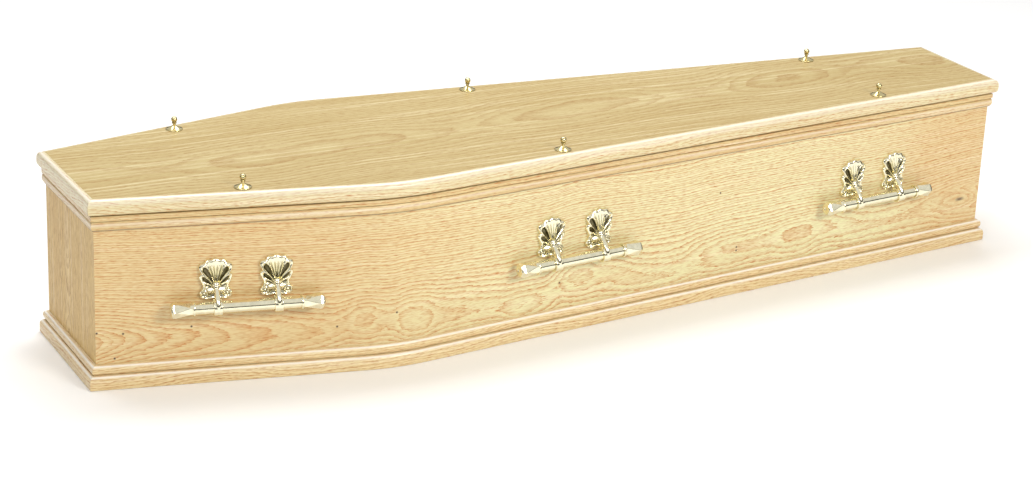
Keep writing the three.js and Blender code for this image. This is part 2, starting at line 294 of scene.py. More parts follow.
# How long and wide the heart line's drift across the face is: it is the same for all that lies abreast
DRIFT_SPOT = (700.0, 1e6)
# How the rings waver: the length and width of a wave, how far it moves them, and its seed
RING_WAVES = (((170.0, 38.0), 1.7, 9.7), ((48.0, 9.0), 0.8, 2.9), ((11.0, 2.2), 0.6, 7.7))
# The square of the slope that the waves give the reach where it has none of its own, over the heart line
WAVE_SLOPE = 0.012
# How much narrower a ring is for each millimetre of reach, how uneven rings are, and how often that changes
NARROWING = 0.001
UNEVENNESS = 1.2
UNEVEN_RATE = 0.31
# The share of a ring over which a dark edge runs out into it, and where its soft band starts
RUN_OUT = 0.08
BAND_START = 0.35
# The least strength of a ring's edge, which each draws for itself
LEAST_EDGE = 0.6
# How far the rings bulge round the larger knot, over what length and width, and how many of them away
# the bulge ends
KNOT_BULGE = 17.0
KNOT_SPREAD = (62.0, 20.0)
KNOT_REACH = 1.6
# The larger knot's colour: how much longer than wide it is, between what distances it fades, how strong
# it is, and how its rim wavers
KNOT_STRETCH = 3.0
KNOT_FADE = (0.8, 5.0)
KNOT_STRENGTH = 0.85
KNOT_WAVER = (14.0, 3.0)
# Between what distances from its middle a pin knot fades
PIN_FADE = (1.0, 2.7)
# Pores crowd on the lines: their share away from any line, and how dark a line has all of them
PORES_AWAY = 0.35
PORES_FULL = 0.7
# The roughness of the lacquered face and in its pores, and how deep a pore's dip in the lacquer is
SMOOTH_FACE = 0.42
OPEN_PORE = 0.58
PORE_DIP = 0.12
# How the strength of lines varies in broad patches and in short breaks
LINE_PATCHES = Mottle((190.0, 26.0), 3.4, (-0.9, 0.9), (0.7, 1.0))
LINE_BREAKS = Mottle((12.0, 2.2), 6.2, (-0.8, 0.5), (0.7, 1.0))
# Real pores are 0.3 mm wide; they are drawn four times as coarse, or the render wouldn't show them
PORES = Mottle((13.0, 1.2), 8.8, (-0.1, 0.7), detail=1.0)
# Where the warm colour comes back, and where the pale streaks lie
WARM_PATCHES = Mottle((380.0, 80.0), 4.4, (-0.8, 0.8))
STREAKS = Mottle((520.0, 8.0), 1.9, (0.05, 0.9))


@dataclass(frozen=True)
class Oak:
    """Oak under a satin lacquer.

    Rings: a board is a flat cut through nested growth rings, which lie round a heart line under its face.
    A ring shows where the distance to that line, the root of (distance across the face) squared plus
    (depth of the line) squared, passes a multiple of the ring spacing. Far from the line the rings are
    close straight lines, and near it, where the depth swings, they close in pointed arches and eyes.

    Attributes:
        name: The material's name.
        grain: The way that the grain runs.
        light: The colour of the wide pale bands.
        warm: The colour that the pale bands turn to in broad patches.
        line: The colour of a ring's dark edge.
        pore: The colour of the open pores.
        streak: The colour of long pale streaks.
        knot: The colour of knots.
        painted_shade: The colour of painted shade in joints and grooves.
        painted_highlight: The colour of painted highlights on rounded edges.
        spacing: From ring to ring at the heart line, in millimetres.
        line_width: How wide a ring's dark edge is.
        heart_at: Where the heart line lies across the face.
        heart_drift: How far the heart line wanders across the face.
        heart_depth: How deep the heart line lies.
        heart_swing: How far that depth swings.
        swing_spot: How long and wide a swing is.
        figure: The heart line's course where the board's own figure is wanted, as (along, across, depth)
            at each place. Away from the line its swerves fade, and the rings run straight.
        painted_shade_course: How far the warm colour holds along the board as painted shade, as (along,
            share) at each place, or nothing.
        patches: How far the warm colour comes back in patches, of 1.
        wash: How dark the soft band inside a ring's edge is, of 1.
        line_share: How dark the lines are, of 1.
        pore_share: How dark the pores are, of 1.
        streak_share: How clear the streaks are, of 1.
        pins: Where pin knots lie, along and across.
        big_knot: Where one larger knot lies, along and across, or far off the piece.
        lacquer: How strong the gloss of the lacquer is, of 1.
        shine: How strong the wood's own shine is, where 0.5 is that of any plastic or lacquer.
        seed: Sets this board apart from the others.
    """

    name: str
    grain: Grain
    light: str = "#e6e5b6"
    warm: str = "#ddc894"
    line: str = "#c67b2c"
    pore: str = "#b76c1c"
    streak: str = "#fbf1d2"
    knot: str = "#4d3222"
    painted_shade: str = "#4e321a"
    painted_highlight: str = "#fffaf0"
    spacing: float = 5.6
    line_width: float = 2.4
    heart_at: float = 88.0
    heart_drift: float = 14.0
    heart_depth: float = 46.0
    heart_swing: float = 44.0
    swing_spot: tuple[float, float] = (420.0, 900.0)
    figure: tuple[tuple[float, float, float], ...] = ()
    painted_shade_course: tuple[tuple[float, float], ...] = ()
    patches: float = 0.6
    wash: float = 0.55
    line_share: float = 1.0
    pore_share: float = 1.0
    streak_share: float = 0.25
    pins: tuple[tuple[float, float], ...] = ()
    big_knot: tuple[float, float] = (-9000.0, 0.0)
    lacquer: float = 0.3
    shine: float = 0.5
    seed: float = 0.0

    def place(self, graph: NodeGraph) -> Socket:
        """Add the coordinates that the wood is drawn on.

        Args:
            graph: The graph that they go into.

        Returns:
            Coordinates in millimetres, with the grain along the first.
        """
        if self.grain is Grain.ALONG_PIECE:
            source = graph.add("ShaderNodeUVMap", uv_map=GRAIN_MAP)
        else:
            source = graph.add("ShaderNodeTexCoord", output="Object")
        turn = math.pi / 2 if self.grain is Grain.UPRIGHT else 0.0
        return graph.add(
            "ShaderNodeMapping", {"Vector": source, "Rotation": (0.0, turn, 0.0), "Scale": PER_MM}
        )

    def heart(
        self, graph: NodeGraph, place: Socket, along: Socket, across: Socket
    ) -> tuple[Socket, Socket]:
        """Lay the heart line.

        Args:
            graph: The graph that it goes into.
            place: Coordinates in millimetres.
            along: The first of them, along the grain.
            across: The second of them, across the grain.

        Returns:
            Where the heart line lies across the face, and how deep.
        """
        middle, deep = self.heart_at, self.heart_depth
        if self.figure:
            line = course(graph, along, [(x, y) for x, y, _ in self.figure])
            swerve = graph.add(MATH, {0: line, 1: middle}, operation="SUBTRACT")
            away = graph.add(MATH, {0: across, 1: middle}, operation="SUBTRACT")
            away = graph.add(MATH, {0: away}, operation="ABSOLUTE")
            fade = {0: away, 1: SWERVE_FADE[0], 2: SWERVE_FADE[1], 3: 1.0, 4: SWERVE_LEFT}
            near = graph.add(RANGE, fade, interpolation_type="SMOOTHSTEP")
            middle = graph.add(MATH, {0: swerve, 1: near, 2: middle}, operation="MULTIPLY_ADD")
            deep = course(graph, along, [(x, depth) for x, _, depth in self.figure])
        drift = cloud(graph, place, DRIFT_SPOT, self.seed + 1.3, 1.0)
        swing = cloud(graph, place, self.swing_spot, self.seed + 5.1, 1.5)
        return (
            graph.add(MATH, {0: drift, 1: self.heart_drift, 2: middle}, operation="MULTIPLY_ADD"),
            graph.add(MATH, {0: swing, 1: self.heart_swing, 2: deep}, operation="MULTIPLY_ADD"),
        )

    def rings(
        self, graph: NodeGraph, place: Socket, along: Socket, across: Socket
    ) -> tuple[Socket, Socket]:
        """Count the rings from the heart line outwards.

        The count is reach / spacing, times (1 + reach / 1000), because rings are narrower further out.

        Args:
            graph: The graph that they go into.
            place: Coordinates in millimetres.
            along: The first of them, along the grain.
            across: The second of them, across the grain.

        Returns:
            The number of the ring, with its fraction, and how far the reach grows over a millimetre of
            the face.
        """
        centre, depth = self.heart(graph, place, along, across)
        aside = graph.add(MATH, {0: across, 1: centre}, operation="SUBTRACT")
        aside = graph.add(MATH, {0: aside, 1: aside}, operation="MULTIPLY")
        whole = graph.add(MATH, {0: depth, 1: depth, 2: aside}, operation="MULTIPLY_ADD")
        reach = graph.add(MATH, {0: whole}, operation="SQRT")
        slope = graph.add(MATH, {0: aside, 1: whole}, operation="DIVIDE")
        slope = graph.add(MATH, {0: slope, 1: WAVE_SLOPE}, operation="ADD")
        slope = graph.add(MATH, {0: slope}, operation="SQRT")
        for spot, size, seed in RING_WAVES:
            wave = cloud(graph, place, spot, self.seed + seed, 1.0)
            reach = graph.add(MATH, {0: wave, 1: size, 2: reach}, operation="MULTIPLY_ADD")
        distance = self.from_knot(graph, place, KNOT_SPREAD)
        fade = {0: distance, 1: 0.0, 2: KNOT_REACH, 3: KNOT_BULGE, 4: 0.0}
        bulge = graph.add(RANGE, fade, interpolation_type="SMOOTHERSTEP")
        reach = graph.add(MATH, {0: reach, 1: bulge}, operation="ADD")
        narrowing = graph.add(MATH, {0: reach, 1: NARROWING, 2: 1.0}, operation="MULTIPLY_ADD")
        count = graph.add(MATH, {0: reach, 1: self.spacing}, operation="DIVIDE")
        count = graph.add(MATH, {0: count, 1: narrowing}, operation="MULTIPLY")
        noise = {"W": count, "Scale": UNEVEN_RATE, "Detail": 1.0}
        uneven = graph.add(NOISE, noise, noise_dimensions="1D")
        return graph.add(MATH, {0: uneven, 1: UNEVENNESS, 2: count}, operation="MULTIPLY_ADD"), slope

    def from_knot(self, graph: NodeGraph, place: Socket, spread: tuple[float, float]) -> Socket:
        """Measure how far each place lies from the larger knot.

        Args:
            graph: The graph that it goes into.
            place: Coordinates in millimetres.
            spread: The length and the width that it is measured in.

        Returns:
            The distance, which is 1 at that length along the grain or that width across it.
        """
        along, across = self.big_knot
        length, width = spread
        scaled = graph.add(
            "ShaderNodeMapping",
            {
                "Vector": place,
                "Location": (-along / length, -across / width, 0.0),
                "Scale": (1 / length, 1 / width, 0.0),
            },
        )
        return graph.add("ShaderNodeVectorMath", {0: scaled}, output="Value", operation="LENGTH")

    def lines(self, graph: NodeGraph, place: Socket, count: Socket, slope: Socket) -> Socket:
        """Draw the rings.

        A ring ends in a dark edge of an even width on the face, with a soft band inside it. Each edge
        has a strength of its own, which patches and short breaks lower here and there.

        Args:
            graph: The graph that they go into.
            place: Coordinates in millimetres.
            count: The number of the ring, with its fraction.
            slope: How far the reach grows over a millimetre of the face.

        Returns:
            How dark the lines are, from 0 to 1.
        """
        phase = graph.add(MATH, {0: count}, operation="FRACT")
        ring = graph.add(MATH, {0: count}, operation="FLOOR")
        width = -self.line_width / self.spacing
        start = graph.add(MATH, {0: slope, 1: width, 2: 1.0}, operation="MULTIPLY_ADD")
        line = graph.add(RANGE, {0: phase, 1: start, 2: 1.0}, interpolation_type="SMOOTHSTEP")
        for first, last, before, after in ((0.0, RUN_OUT, 1.0, 0.0), (BAND_START, 1.0, 0.0, self.wash)):
            change = {0: phase, 1: first, 2: last, 3: before, 4: after}
            more = graph.add(RANGE, change, interpolation_type="SMOOTHSTEP")
            line = graph.add(MATH, {0: line, 1: more}, operation="MAXIMUM")
        own = graph.add("ShaderNodeTexWhiteNoise", {"W": ring}, noise_dimensions="1D")
        own = graph.add(RANGE, {0: own, 1: 0.0, 2: 1.0, 3: LEAST_EDGE, 4: 1.0})
        patches, breaks = (each.share(graph, place, self.seed) for each in (LINE_PATCHES, LINE_BREAKS))
        for share in (own, patches, breaks):
            line = graph.add(MATH, {0: line, 1: share}, operation="MULTIPLY")
        return line

    def tone(self, graph: NodeGraph, place: Socket, along: Socket) -> Socket:
        """Lay the warm colour in patches, and along the board as painted shade where it has a course for
        it.

        Args:
            graph: The graph that it goes into.
            place: Coordinates in millimetres.
            along: The first of them, along the grain.

        Returns:
            How far the warm colour holds, from 0 to 1.
        """
        tone = replace(WARM_PATCHES, shares=(0.0, self.patches)).share(graph, place, self.seed)
        if not self.painted_shade_course:
            return tone
        # Painted shade along the board, where it has a course for it
        own = course(graph, along, self.painted_shade_course)
        return graph.add(MATH, {0: tone, 1: own}, operation="ADD", use_clamp=True)

    def knots(self, graph: NodeGraph, place: Socket) -> Socket:
        """Draw the larger knot and the pin knots.

        Args:
            graph: The graph that they go into.
            place: Coordinates in millimetres.

        Returns:
            How dark they are, from 0 to 1.
        """
        eye = self.from_knot(graph, place, (KNOT_STRETCH, 1.0))
        eye = graph.add(MATH, {0: eye, 1: cloud(graph, place, KNOT_WAVER, 2.2)}, operation="ADD")
        knots = graph.add(RANGE, {0: eye, 1: KNOT_FADE[0], 2: KNOT_FADE[1], 3: KNOT_STRENGTH, 4: 0.0})
        flat = graph.add("ShaderNodeMapping", {"Vector": place, "Scale": (1.0, 1.0, 0.0)})
        for spot in self.pins:
            ends = {0: flat, 1: (*spot, 0.0)}
            away = graph.add("ShaderNodeVectorMath", ends, output="Value", operation="DISTANCE")
            pin = graph.add(RANGE, {0: away, 1: PIN_FADE[0], 2: PIN_FADE[1], 3: 1.0, 4: 0.0})
            knots = graph.add(MATH, {0: knots, 1: pin}, operation="MAXIMUM")
        return knots

    def material(self) -> bpy.types.Material:
        """Build the material.

        Returns:
            The material, whose lines, pores and knots follow the rings.
        """
        material, graph = empty_material(self.name)
        place = self.place(graph)
        along = graph.add("ShaderNodeSeparateXYZ", {0: place}, output="X")
        across = graph.add("ShaderNodeSeparateXYZ", {0: place}, output="Y")
        line = self.lines(graph, place, *self.rings(graph, place, along, across))
        grit = PORES.share(graph, place, self.seed)
        crowd = graph.add(RANGE, {0: line, 1: 0.0, 2: PORES_FULL, 3: PORES_AWAY, 4: 1.0})
        pores = graph.add(MATH, {0: grit, 1: crowd}, operation="MULTIPLY")
        painted_light_share = graph.add("ShaderNodeAttribute", output="Fac", attribute_name=RECESS)
        colour = graph.add(
            MIX,
            {0: self.tone(graph, place, along), MIX_A: linear(self.light), MIX_B: linear(self.warm)},
            MIX_RESULT,
            data_type="RGBA",
        )
        for share, strength, hexed in (
            (STREAKS.share(graph, place, self.seed), self.streak_share, self.streak),
            (line, self.line_share, self.line),
            (pores, self.pore_share, self.pore),
            (self.knots(graph, place), 1.0, self.knot),
            # The last two mixes paint light by the recess attribute: painted highlights where it is below
            # 0, painted shade where it is above 0
            (painted_light_share, -1.0, self.painted_highlight),
            (painted_light_share, 1.0, self.painted_shade),
        ):
            factor = graph.add(MATH, {0: share, 1: strength}, operation="MULTIPLY", use_clamp=True)
            inputs = {0: factor, MIX_A: colour, MIX_B: linear(hexed)}
            colour = graph.add(MIX, inputs, MIX_RESULT, data_type="RGBA")
        raised = graph.add(MATH, {0: pores, 1: -1.0, 2: 1.0}, operation="MULTIPLY_ADD")
        bump = graph.add("ShaderNodeBump", {"Height": raised, "Strength": 0.35, "Distance": PORE_DIP * MM})
        shader = graph.add(
            "ShaderNodeBsdfPrincipled",
            {
                "Base Color": colour,
                "Roughness": graph.add(RANGE, {0: pores, 1: 0.0, 2: 1.0, 3: SMOOTH_FACE, 4: OPEN_PORE}),
                "IOR": 1.5,
                "Specular IOR Level": self.shine,
                "Coat Weight": self.lacquer,
                "Coat Roughness": 0.25,
                "Normal": bump,
            },
        )
        graph.add("ShaderNodeOutputMaterial", {"Surface": shader})
        return material


# The near side's figure, as it shows in the photograph, in millimetres from the head end: the heart line's
# height above the bottom and its depth under the face, which closes the rings in arches and eyes
NEAR_FIGURE = (
    (0, 80, 14),
    (56, 84, 30),
    (85, 82, 35),
    (123, 80, 40),
    (184, 80, 45),
    (250, 75, 50),
    (317, 76, 55),
    (404, 76, 60),
    (435, 84, 62),
    (475, 91, 58),
    (519, 86, 62),
    (566, 79, 56),
    (620, 76, 62),
    (671, 75, 65),
    (735, 70, 67),
    (807, 57, 62),
    (862, 72, 65),
    (922, 95, 58),
    (975, 92, 62),
    (1060, 72, 64),
    (1133, 65, 65),
    (1170, 70, 66),
    (1198, 80, 65),
    (1263, 86, 61),
    (1369, 90, 60),
    (1444, 93, 55),
    (1504, 98, 60),
    (1565, 88, 63),
    (1665, 80, 65),
    (1750, 84, 64),
    (1796, 90, 60),
    (1871, 95, 52),
    (1916, 96, 50),
)
# How far its warm colour holds, as (along, share): painted shade, darker and warmer towards both ends
NEAR_PAINTED_SHADE = ((0, 1.0), (220, 0.95), (560, 0.5), (900, 0.1), (1600, 0.15), (1760, 0.7), (1916, 1.0))
# Its pin knots and its larger knot, along and above the bottom
NEAR_PINS = (
    (6, 101),
    (51, 97),
    (36, 52),
    (169, 102),
    (426, 82),
    (535, 99),
    (880, 93),
    (1243, 210),
    (1292, 91),
    (1292, 84),
)
NEAR_KNOT = (1871, 95)

LEFT_VENEER = Oak(
    "oak_veneer_left",
    Grain.ALONG_PIECE,
    heart_at=82.0,
    heart_drift=2.0,
    heart_swing=1.5,
    figure=NEAR_FIGURE,
    painted_shade_course=NEAR_PAINTED_SHADE,
    patches=0.35,
    pins=NEAR_PINS,
    big_knot=NEAR_KNOT,
    seed=1.0,
)
RIGHT_VENEER = Oak("oak_veneer_right", Grain.ALONG_PIECE, light="#ecdfb2", patches=0.9, seed=5.0)
UPRIGHT_VENEER = Oak(
    "oak_veneer_upright",
    Grain.UPRIGHT,
    light="#e2c47e",
    warm="#d6b16a",
    line="#9c6220",
    pore="#96581a",
    spacing=8.0,
    heart_at=12.0,
    heart_depth=34.0,
    heart_swing=36.0,
    swing_spot=(170.0, 300.0),
    line_share=0.75,
    lacquer=0.1,
    shine=0.25,
    seed=21.0,
)
LID_VENEER = Oak(
    "oak_veneer_lid",
    Grain.LENGTHWISE,
    light="#c7b47f",
    warm="#b9a268",
    line="#9c6a20",
    pore="#90601c",
    streak="#e6d9ac",
    spacing=11.0,
    heart_at=20.0,
    heart_drift=40.0,
    heart_depth=105.0,
    heart_swing=38.0,
    line_share=0.75,
    pore_share=0.8,
    streak_share=0.65,
    lacquer=0.12,
    shine=0.3,
    seed=40.0,
)
BASE_VENEER = Oak("oak_veneer_base", Grain.LENGTHWISE, heart_at=0.0, spacing=9.0, seed=60.0)
LID_EDGING = Oak(
    "oak_lid_edging",
    Grain.ALONG_PIECE,
    light="#e1d8ab",
    warm="#d5c697",
    line="#bb8440",
    spacing=5.0,
    heart_at=-60.0,
    heart_drift=25.0,
    heart_depth=70.0,
    heart_swing=30.0,
    line_share=0.8,
    streak_share=0.5,
    lacquer=0.6,
    seed=71.0,
)
RIM_WOOD = replace(
    LID_EDGING, name="oak_rim_moulding", light="#dcc78f", warm="#c9aa72", line="#b47a38", seed=83.0
)
BASE_WOOD = replace(
    LID_EDGING, name="oak_base_moulding", light="#ecd9a8", warm="#dcc18a", line="#bb8440", seed=97.0
)


@dataclass(frozen=True)
class Brass:
    """Brass plate under clear lacquer: a pale gold mirror, slightly wavy, with painted shade in its
    hollows.

    Attributes:
        name: The material's name.
        plate: The colour of the plate.
        hollow: The colour of the painted shade in hollows, which the plate also turns towards in soft
            spots.
        roughness: The roughness of the polished plate.
        ripple: How long a ripple of the cast surface is, in millimetres.
        painted_shade_strength: How far a full recess turns the plate's colour to the hollow's, as painted
            shade.
        clouding: How far the plate's colour turns to it in soft spots.
        roughening: How much rougher the hollows are.
    """

    name: str
    plate: str
    hollow: str
    roughness: float
    ripple: float
    painted_shade_strength: float = 0.85
    clouding: Mottle = Mottle((11.0, 11.0), 3.1, (-1.0, 1.0), (0.0, 0.16))
    roughening: float = 0.22

    def material(self) -> bpy.types.Material:
        """Build the material.

        Returns:
            The material, which paints shade into the hollows by the recess of a piece that has one.
        """
        material, graph = empty_material(self.name)
        source = graph.add("ShaderNodeTexCoord", output="Object")
        place = graph.add("ShaderNodeMapping", {"Vector": source, "Scale": PER_MM})
        recess = graph.add("ShaderNodeAttribute", output="Fac", attribute_name=RECESS)
        dull = self.clouding.share(graph, place)
        # Painted shade: the recess turns the plate towards the hollow colour, and soft spots of clouding
        # turn it a little
        turned = {0: recess, 1: self.painted_shade_strength, 2: dull}
        shade = graph.add(MATH, turned, operation="MULTIPLY_ADD", use_clamp=True)
        inputs = {0: shade, MIX_A: linear(self.plate), MIX_B: linear(self.hollow)}
        colour = graph.add(MIX, inputs, MIX_RESULT, data_type="RGBA")
        ripple = cloud(graph, place, (self.ripple, self.ripple), 0.7, 1.0)
        bump = graph.add("ShaderNodeBump", {"Height": ripple, "Strength": 0.3, "Distance": 0.12 * MM})
        roughest = self.roughness + self.roughening
        roughness = graph.add(RANGE, {0: shade, 1: 0.0, 2: 1.0, 3: self.roughness, 4: roughest})
        shader = graph.add(
            "ShaderNodeBsdfPrincipled",
            {"Base Color": colour, "Metallic": 1.0, "Roughness": roughness, "Normal": bump},
        )
        graph.add("ShaderNodeOutputMaterial", {"Surface": shader})
        return material


@dataclass(frozen=True)
class Paper:
    """Matt background paper: white, with hardly a shine."""

    name: str = "background_paper"
    shade: str = "#ffffff"

    def material(self) -> bpy.types.Material:
        """Build the material.

        Returns:
            The material of the floor.
        """
        material, graph = empty_material(self.name)
        shader = graph.add(
            "ShaderNodeBsdfPrincipled",
            {"Base Color": linear(self.shade), "Roughness": 0.9, "Specular IOR Level": 0.1},
        )
        graph.add("ShaderNodeOutputMaterial", {"Surface": shader})
        return material


@dataclass
class Skin:
    """A closed surface as flat arrays, in millimetres.

    Attributes:
        points: The points, one a row.
        corners: The point at each face corner, face after face.
        sizes: How many corners each face has.
        grain: Where each corner lies along and across the grain.
        finishes: The number of each face's material.
        recess: The painted light at each point: painted shade in a hollow or joint, up to 1, and a painted
            highlight, down to -1.
    """

    points: Array
    corners: Array
    sizes: Array
    grain: Array
    finishes: Array
    recess: Array

    @classmethod
    def through(
        cls,
        rings: Array,
        grain: Array | None = None,
        recess: Array | None = None,
        looped: bool = False,
        end_finish: int = 0,
    ) -> "Skin":
        """Join rings of points into one closed skin.

        Point j of ring i is joined to point j + 1 of its ring and to point j of ring i + 1, so each cell
        of that grid is one four-cornered face, and the last point of a ring joins its first. One flat
        face closes each end, unless the last ring joins the first.

        Args:
            rings: The points, as rings x points x 3.
            grain: Where each lies along and across the grain, with one more point a ring, and one more
                ring where they are looped.
            recess: The painted shade, up to 1, and painted highlight, down to -1, at each point.
            looped: Whether the last ring joins the first.
            end_finish: The number of the end faces' material.

        Returns:
            The skin, facing outwards.
        """
        count, around = rings.shape[:2]
        rows = count if looped else count - 1
        i, j = np.meshgrid(np.arange(rows), np.arange(around), indexing="ij")
        after = (i + 1) % count
        beside = (j + 1) % around
        cells = [i * around + j, i * around + beside, after * around + beside, after * around + j]
        corners = np.stack(cells, axis=-1).reshape(-1)
        sizes = np.full(rows * around, 4)
        finishes = np.zeros(rows * around, int)
        if grain is None:
            grain = np.zeros((rows + 1, around + 1, 2))
        places = [grain[i, j], grain[i, j + 1], grain[i + 1, j + 1], grain[i + 1, j]]
        mapped = np.stack(places, axis=2).reshape(-1, 2)
        if not looped:
            first = np.arange(around)[::-1]
            last = np.arange(around)
            corners = np.concatenate([corners, first, (count - 1) * around + last])
            sizes = np.append(sizes, [around, around])
            finishes = np.append(finishes, [end_finish, end_finish])
            mapped = np.concatenate([mapped, grain[0, first], grain[-1, last]])
        hollow = np.zeros(rings.shape[:2]) if recess is None else recess
        skin = cls(rings.reshape(-1, 3), corners, sizes, mapped, finishes, hollow.reshape(-1))
        return skin if skin.volume() > 0 else skin.turned()

    @classmethod
    def joined(cls, skins: Sequence["Skin"]) -> "Skin":
        """Put several skins side by side into one.

        Args:
            skins: The skins.

        Returns:
            One skin with all their points and faces.
        """
        starts = np.cumsum([0] + [len(skin.points) for skin in skins[:-1]])
        moved = [replace(skin, corners=skin.corners + start) for skin, start in zip(skins, starts)]
        return cls(*(np.concatenate([getattr(skin, part.name) for skin in moved]) for part in fields(cls)))

    def volume(self) -> float:
        """Measure the volume inside.

        It is the sum, over the triangles of each face's fan, of a sixth of the triple product of the
        triangle's corners.

        Returns:
            The volume in cubic millimetres, which is below 0 where the faces point inwards.
        """
        starts = np.cumsum(self.sizes) - self.sizes
        first = np.repeat(self.corners[starts], self.sizes)
        following = np.roll(self.corners, -1)
        ends = starts + self.sizes - 1
        following[ends] = self.corners[starts]
        middle = self.points.mean(0)
        a, b, c = (self.points[index] - middle for index in (first, self.corners, following))
        return float(np.einsum("ij,ij->i", a, np.cross(b, c)).sum() / 6)

    def turned(self) -> "Skin":
        """The same skin with its faces turned over."""
        turned = {part: getattr(self, part)[::-1] for part in ("corners", "sizes", "grain", "finishes")}
        return replace(self, **turned)

    def moved(self, points: Array) -> "Skin":
        """The same skin with its points elsewhere, facing outwards again."""
        skin = replace(self, points=points)
        return skin if skin.volume() > 0 else skin.turned()

    def piece(self, name: str, materials: Sequence[bpy.types.Material]) -> bpy.types.Object:
        """Put the skin into Blender.

        Args:
            name: The piece's name.
            materials: Its materials, in the order of the finishes' numbers.

        Returns:
            The piece, at the origin, with its place in its mesh.
        """
        mesh = bpy.data.meshes.new(name)
        mesh.vertices.add(len(self.points))
        mesh.vertices.foreach_set("co", (self.points * MM).astype(np.float32).ravel())
        mesh.loops.add(len(self.corners))
        mesh.loops.foreach_set("vertex_index", self.corners.astype(np.int32))
        mesh.polygons.add(len(self.sizes))
        mesh.polygons.foreach_set("loop_start", (np.cumsum(self.sizes) - self.sizes).astype(np.int32))
        mesh.polygons.foreach_set("material_index", self.finishes.astype(np.int32))
        mesh.polygons.foreach_set("use_smooth", np.ones(len(self.sizes), bool))
        grain = mesh.uv_layers.new(name=GRAIN_MAP)
        grain.data.foreach_set("uv", (self.grain * MM).astype(np.float32).ravel())
        if self.recess.any():
            hollow = mesh.attributes.new(RECESS, "FLOAT", "POINT")
            hollow.data.foreach_set("value", self.recess.astype(np.float32))
        mesh.update(calc_edges=True)
        mesh.set_sharp_from_angle(angle=SHARP_ANGLE)
        for material in materials:
            mesh.materials.append(material)
        piece = bpy.data.objects.new(name, mesh)
        bpy.context.scene.collection.objects.link(piece)
        return piece


def stand_for(node: str, skin: Skin, slot: Slot, materials: Sequence[bpy.types.Material]) -> None:
    """Make a piece from a skin and let it stand for a node of the frame.

    Args:
        node: The node that it stands for.
        skin: Its surface.
        slot: The record's slot that its finish comes from; it is not used.
        materials: Its materials.
    """
    piece = skin.piece(f"{node}_dressed", materials)
    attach(piece, BODY)
    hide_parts(node)
    low, high = (np.array(corner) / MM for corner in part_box(node))
    off = np.abs(np.concatenate([skin.points.min(0) - low, skin.points.max(0) - high])).max()
    log.info("%s: %d faces, within %.2f mm of its node's box", piece.name, len(skin.sizes), off)


def curve(
    start: Sequence[float], control: Sequence[float], end: Sequence[float], steps: int = 12
) -> Array:
    """Points on a parabola arc, which leaves start towards control and reaches end from it.

    Each point is start, twice control and end, weighed by (1 - t) squared, t (1 - t) and t squared.

    Args:
        start: Where it starts.
        control: Where the tangents of its ends meet.
        end: Where it ends.
        steps: How many steps it has.

    Returns:
        The points, as steps + 1 rows.
    """
    t = np.linspace(0, 1, steps + 1)[:, None]
    a, b, c = (np.asarray(p, float) for p in (start, control, end))
    return a * (1 - t) ** 2 + 2 * b * t * (1 - t) + c * t**2


def arc(
    centre: Sequence[float], radii: Sequence[float], degrees: tuple[float, float], steps: int = 20
) -> Array:
    """Points on an arc of an ellipse: centre + (cos, sin) of the angle, times the radii.

    Args:
        centre: The ellipse's centre.
        radii: Its two half widths.
        degrees: The angles where the arc starts and ends.
        steps: How many steps it has.

    Returns:
        The points, as steps + 1 rows.
    """
    angle = np.radians(np.linspace(*degrees, steps + 1))[:, None]
    return np.asarray(centre, float) + np.hstack([np.cos(angle), np.sin(angle)]) * np.asarray(radii, float)


def smooth_through(x: Array, knots: Sequence[tuple[float, float]]) -> Array:
    """A wave through knots, level at each: between two of them it follows half a cosine.

    Args:
        x: Where it is wanted.
        knots: The (place, value) of each knot, in order.

    Returns:
        The wave's values.
    """
    places, values = np.array(knots).T
    i = np.clip(np.searchsorted(places, x, side="right") - 1, 0, len(places) - 2)
    t = np.clip((x - places[i]) / (places[i + 1] - places[i]), 0, 1)
    return values[i] + (values[i + 1] - values[i]) * (1 - np.cos(np.pi * t)) / 2


def swell(x: Array, middle: float, width: float) -> Array:
    """A bell of height 1 round a middle: e to the power of minus ((x - middle) / width) squared."""
    return np.exp(-(((x - middle) / width) ** 2))


def outline(*runs: Sequence[Any]) -> Array:
    """Join points and runs of points into one outline."""
    return np.vstack([np.atleast_2d(np.asarray(run, float)) for run in runs])


@dataclass(frozen=True)
class Stretch:
    """A straight stretch of the right side in plan.

    Attributes:
        start: Where it starts.
        along: The direction that it runs in.
        out: The direction that it faces.
    """

    start: Array
    along: Array
    out: Array

    @classmethod
    def between(cls, start: Array, end: Array) -> "Stretch":
        """The stretch from one point to another."""
        along = (end - start) / np.linalg.norm(end - start)
        return cls(start, along, np.array([-along[1], along[0]]))

    def at(self, reach: Array, x: Array) -> Array:
        """Find where the stretch, moved out, passes an x.

        Args:
            reach: How far out it is moved.
            x: The x.

        Returns:
            The point or points, in plan.
        """
        start = self.start + np.multiply.outer(reach, self.out)
        run = (x - start[..., 0]) / self.along[0]
        return start + run[..., None] * self.along


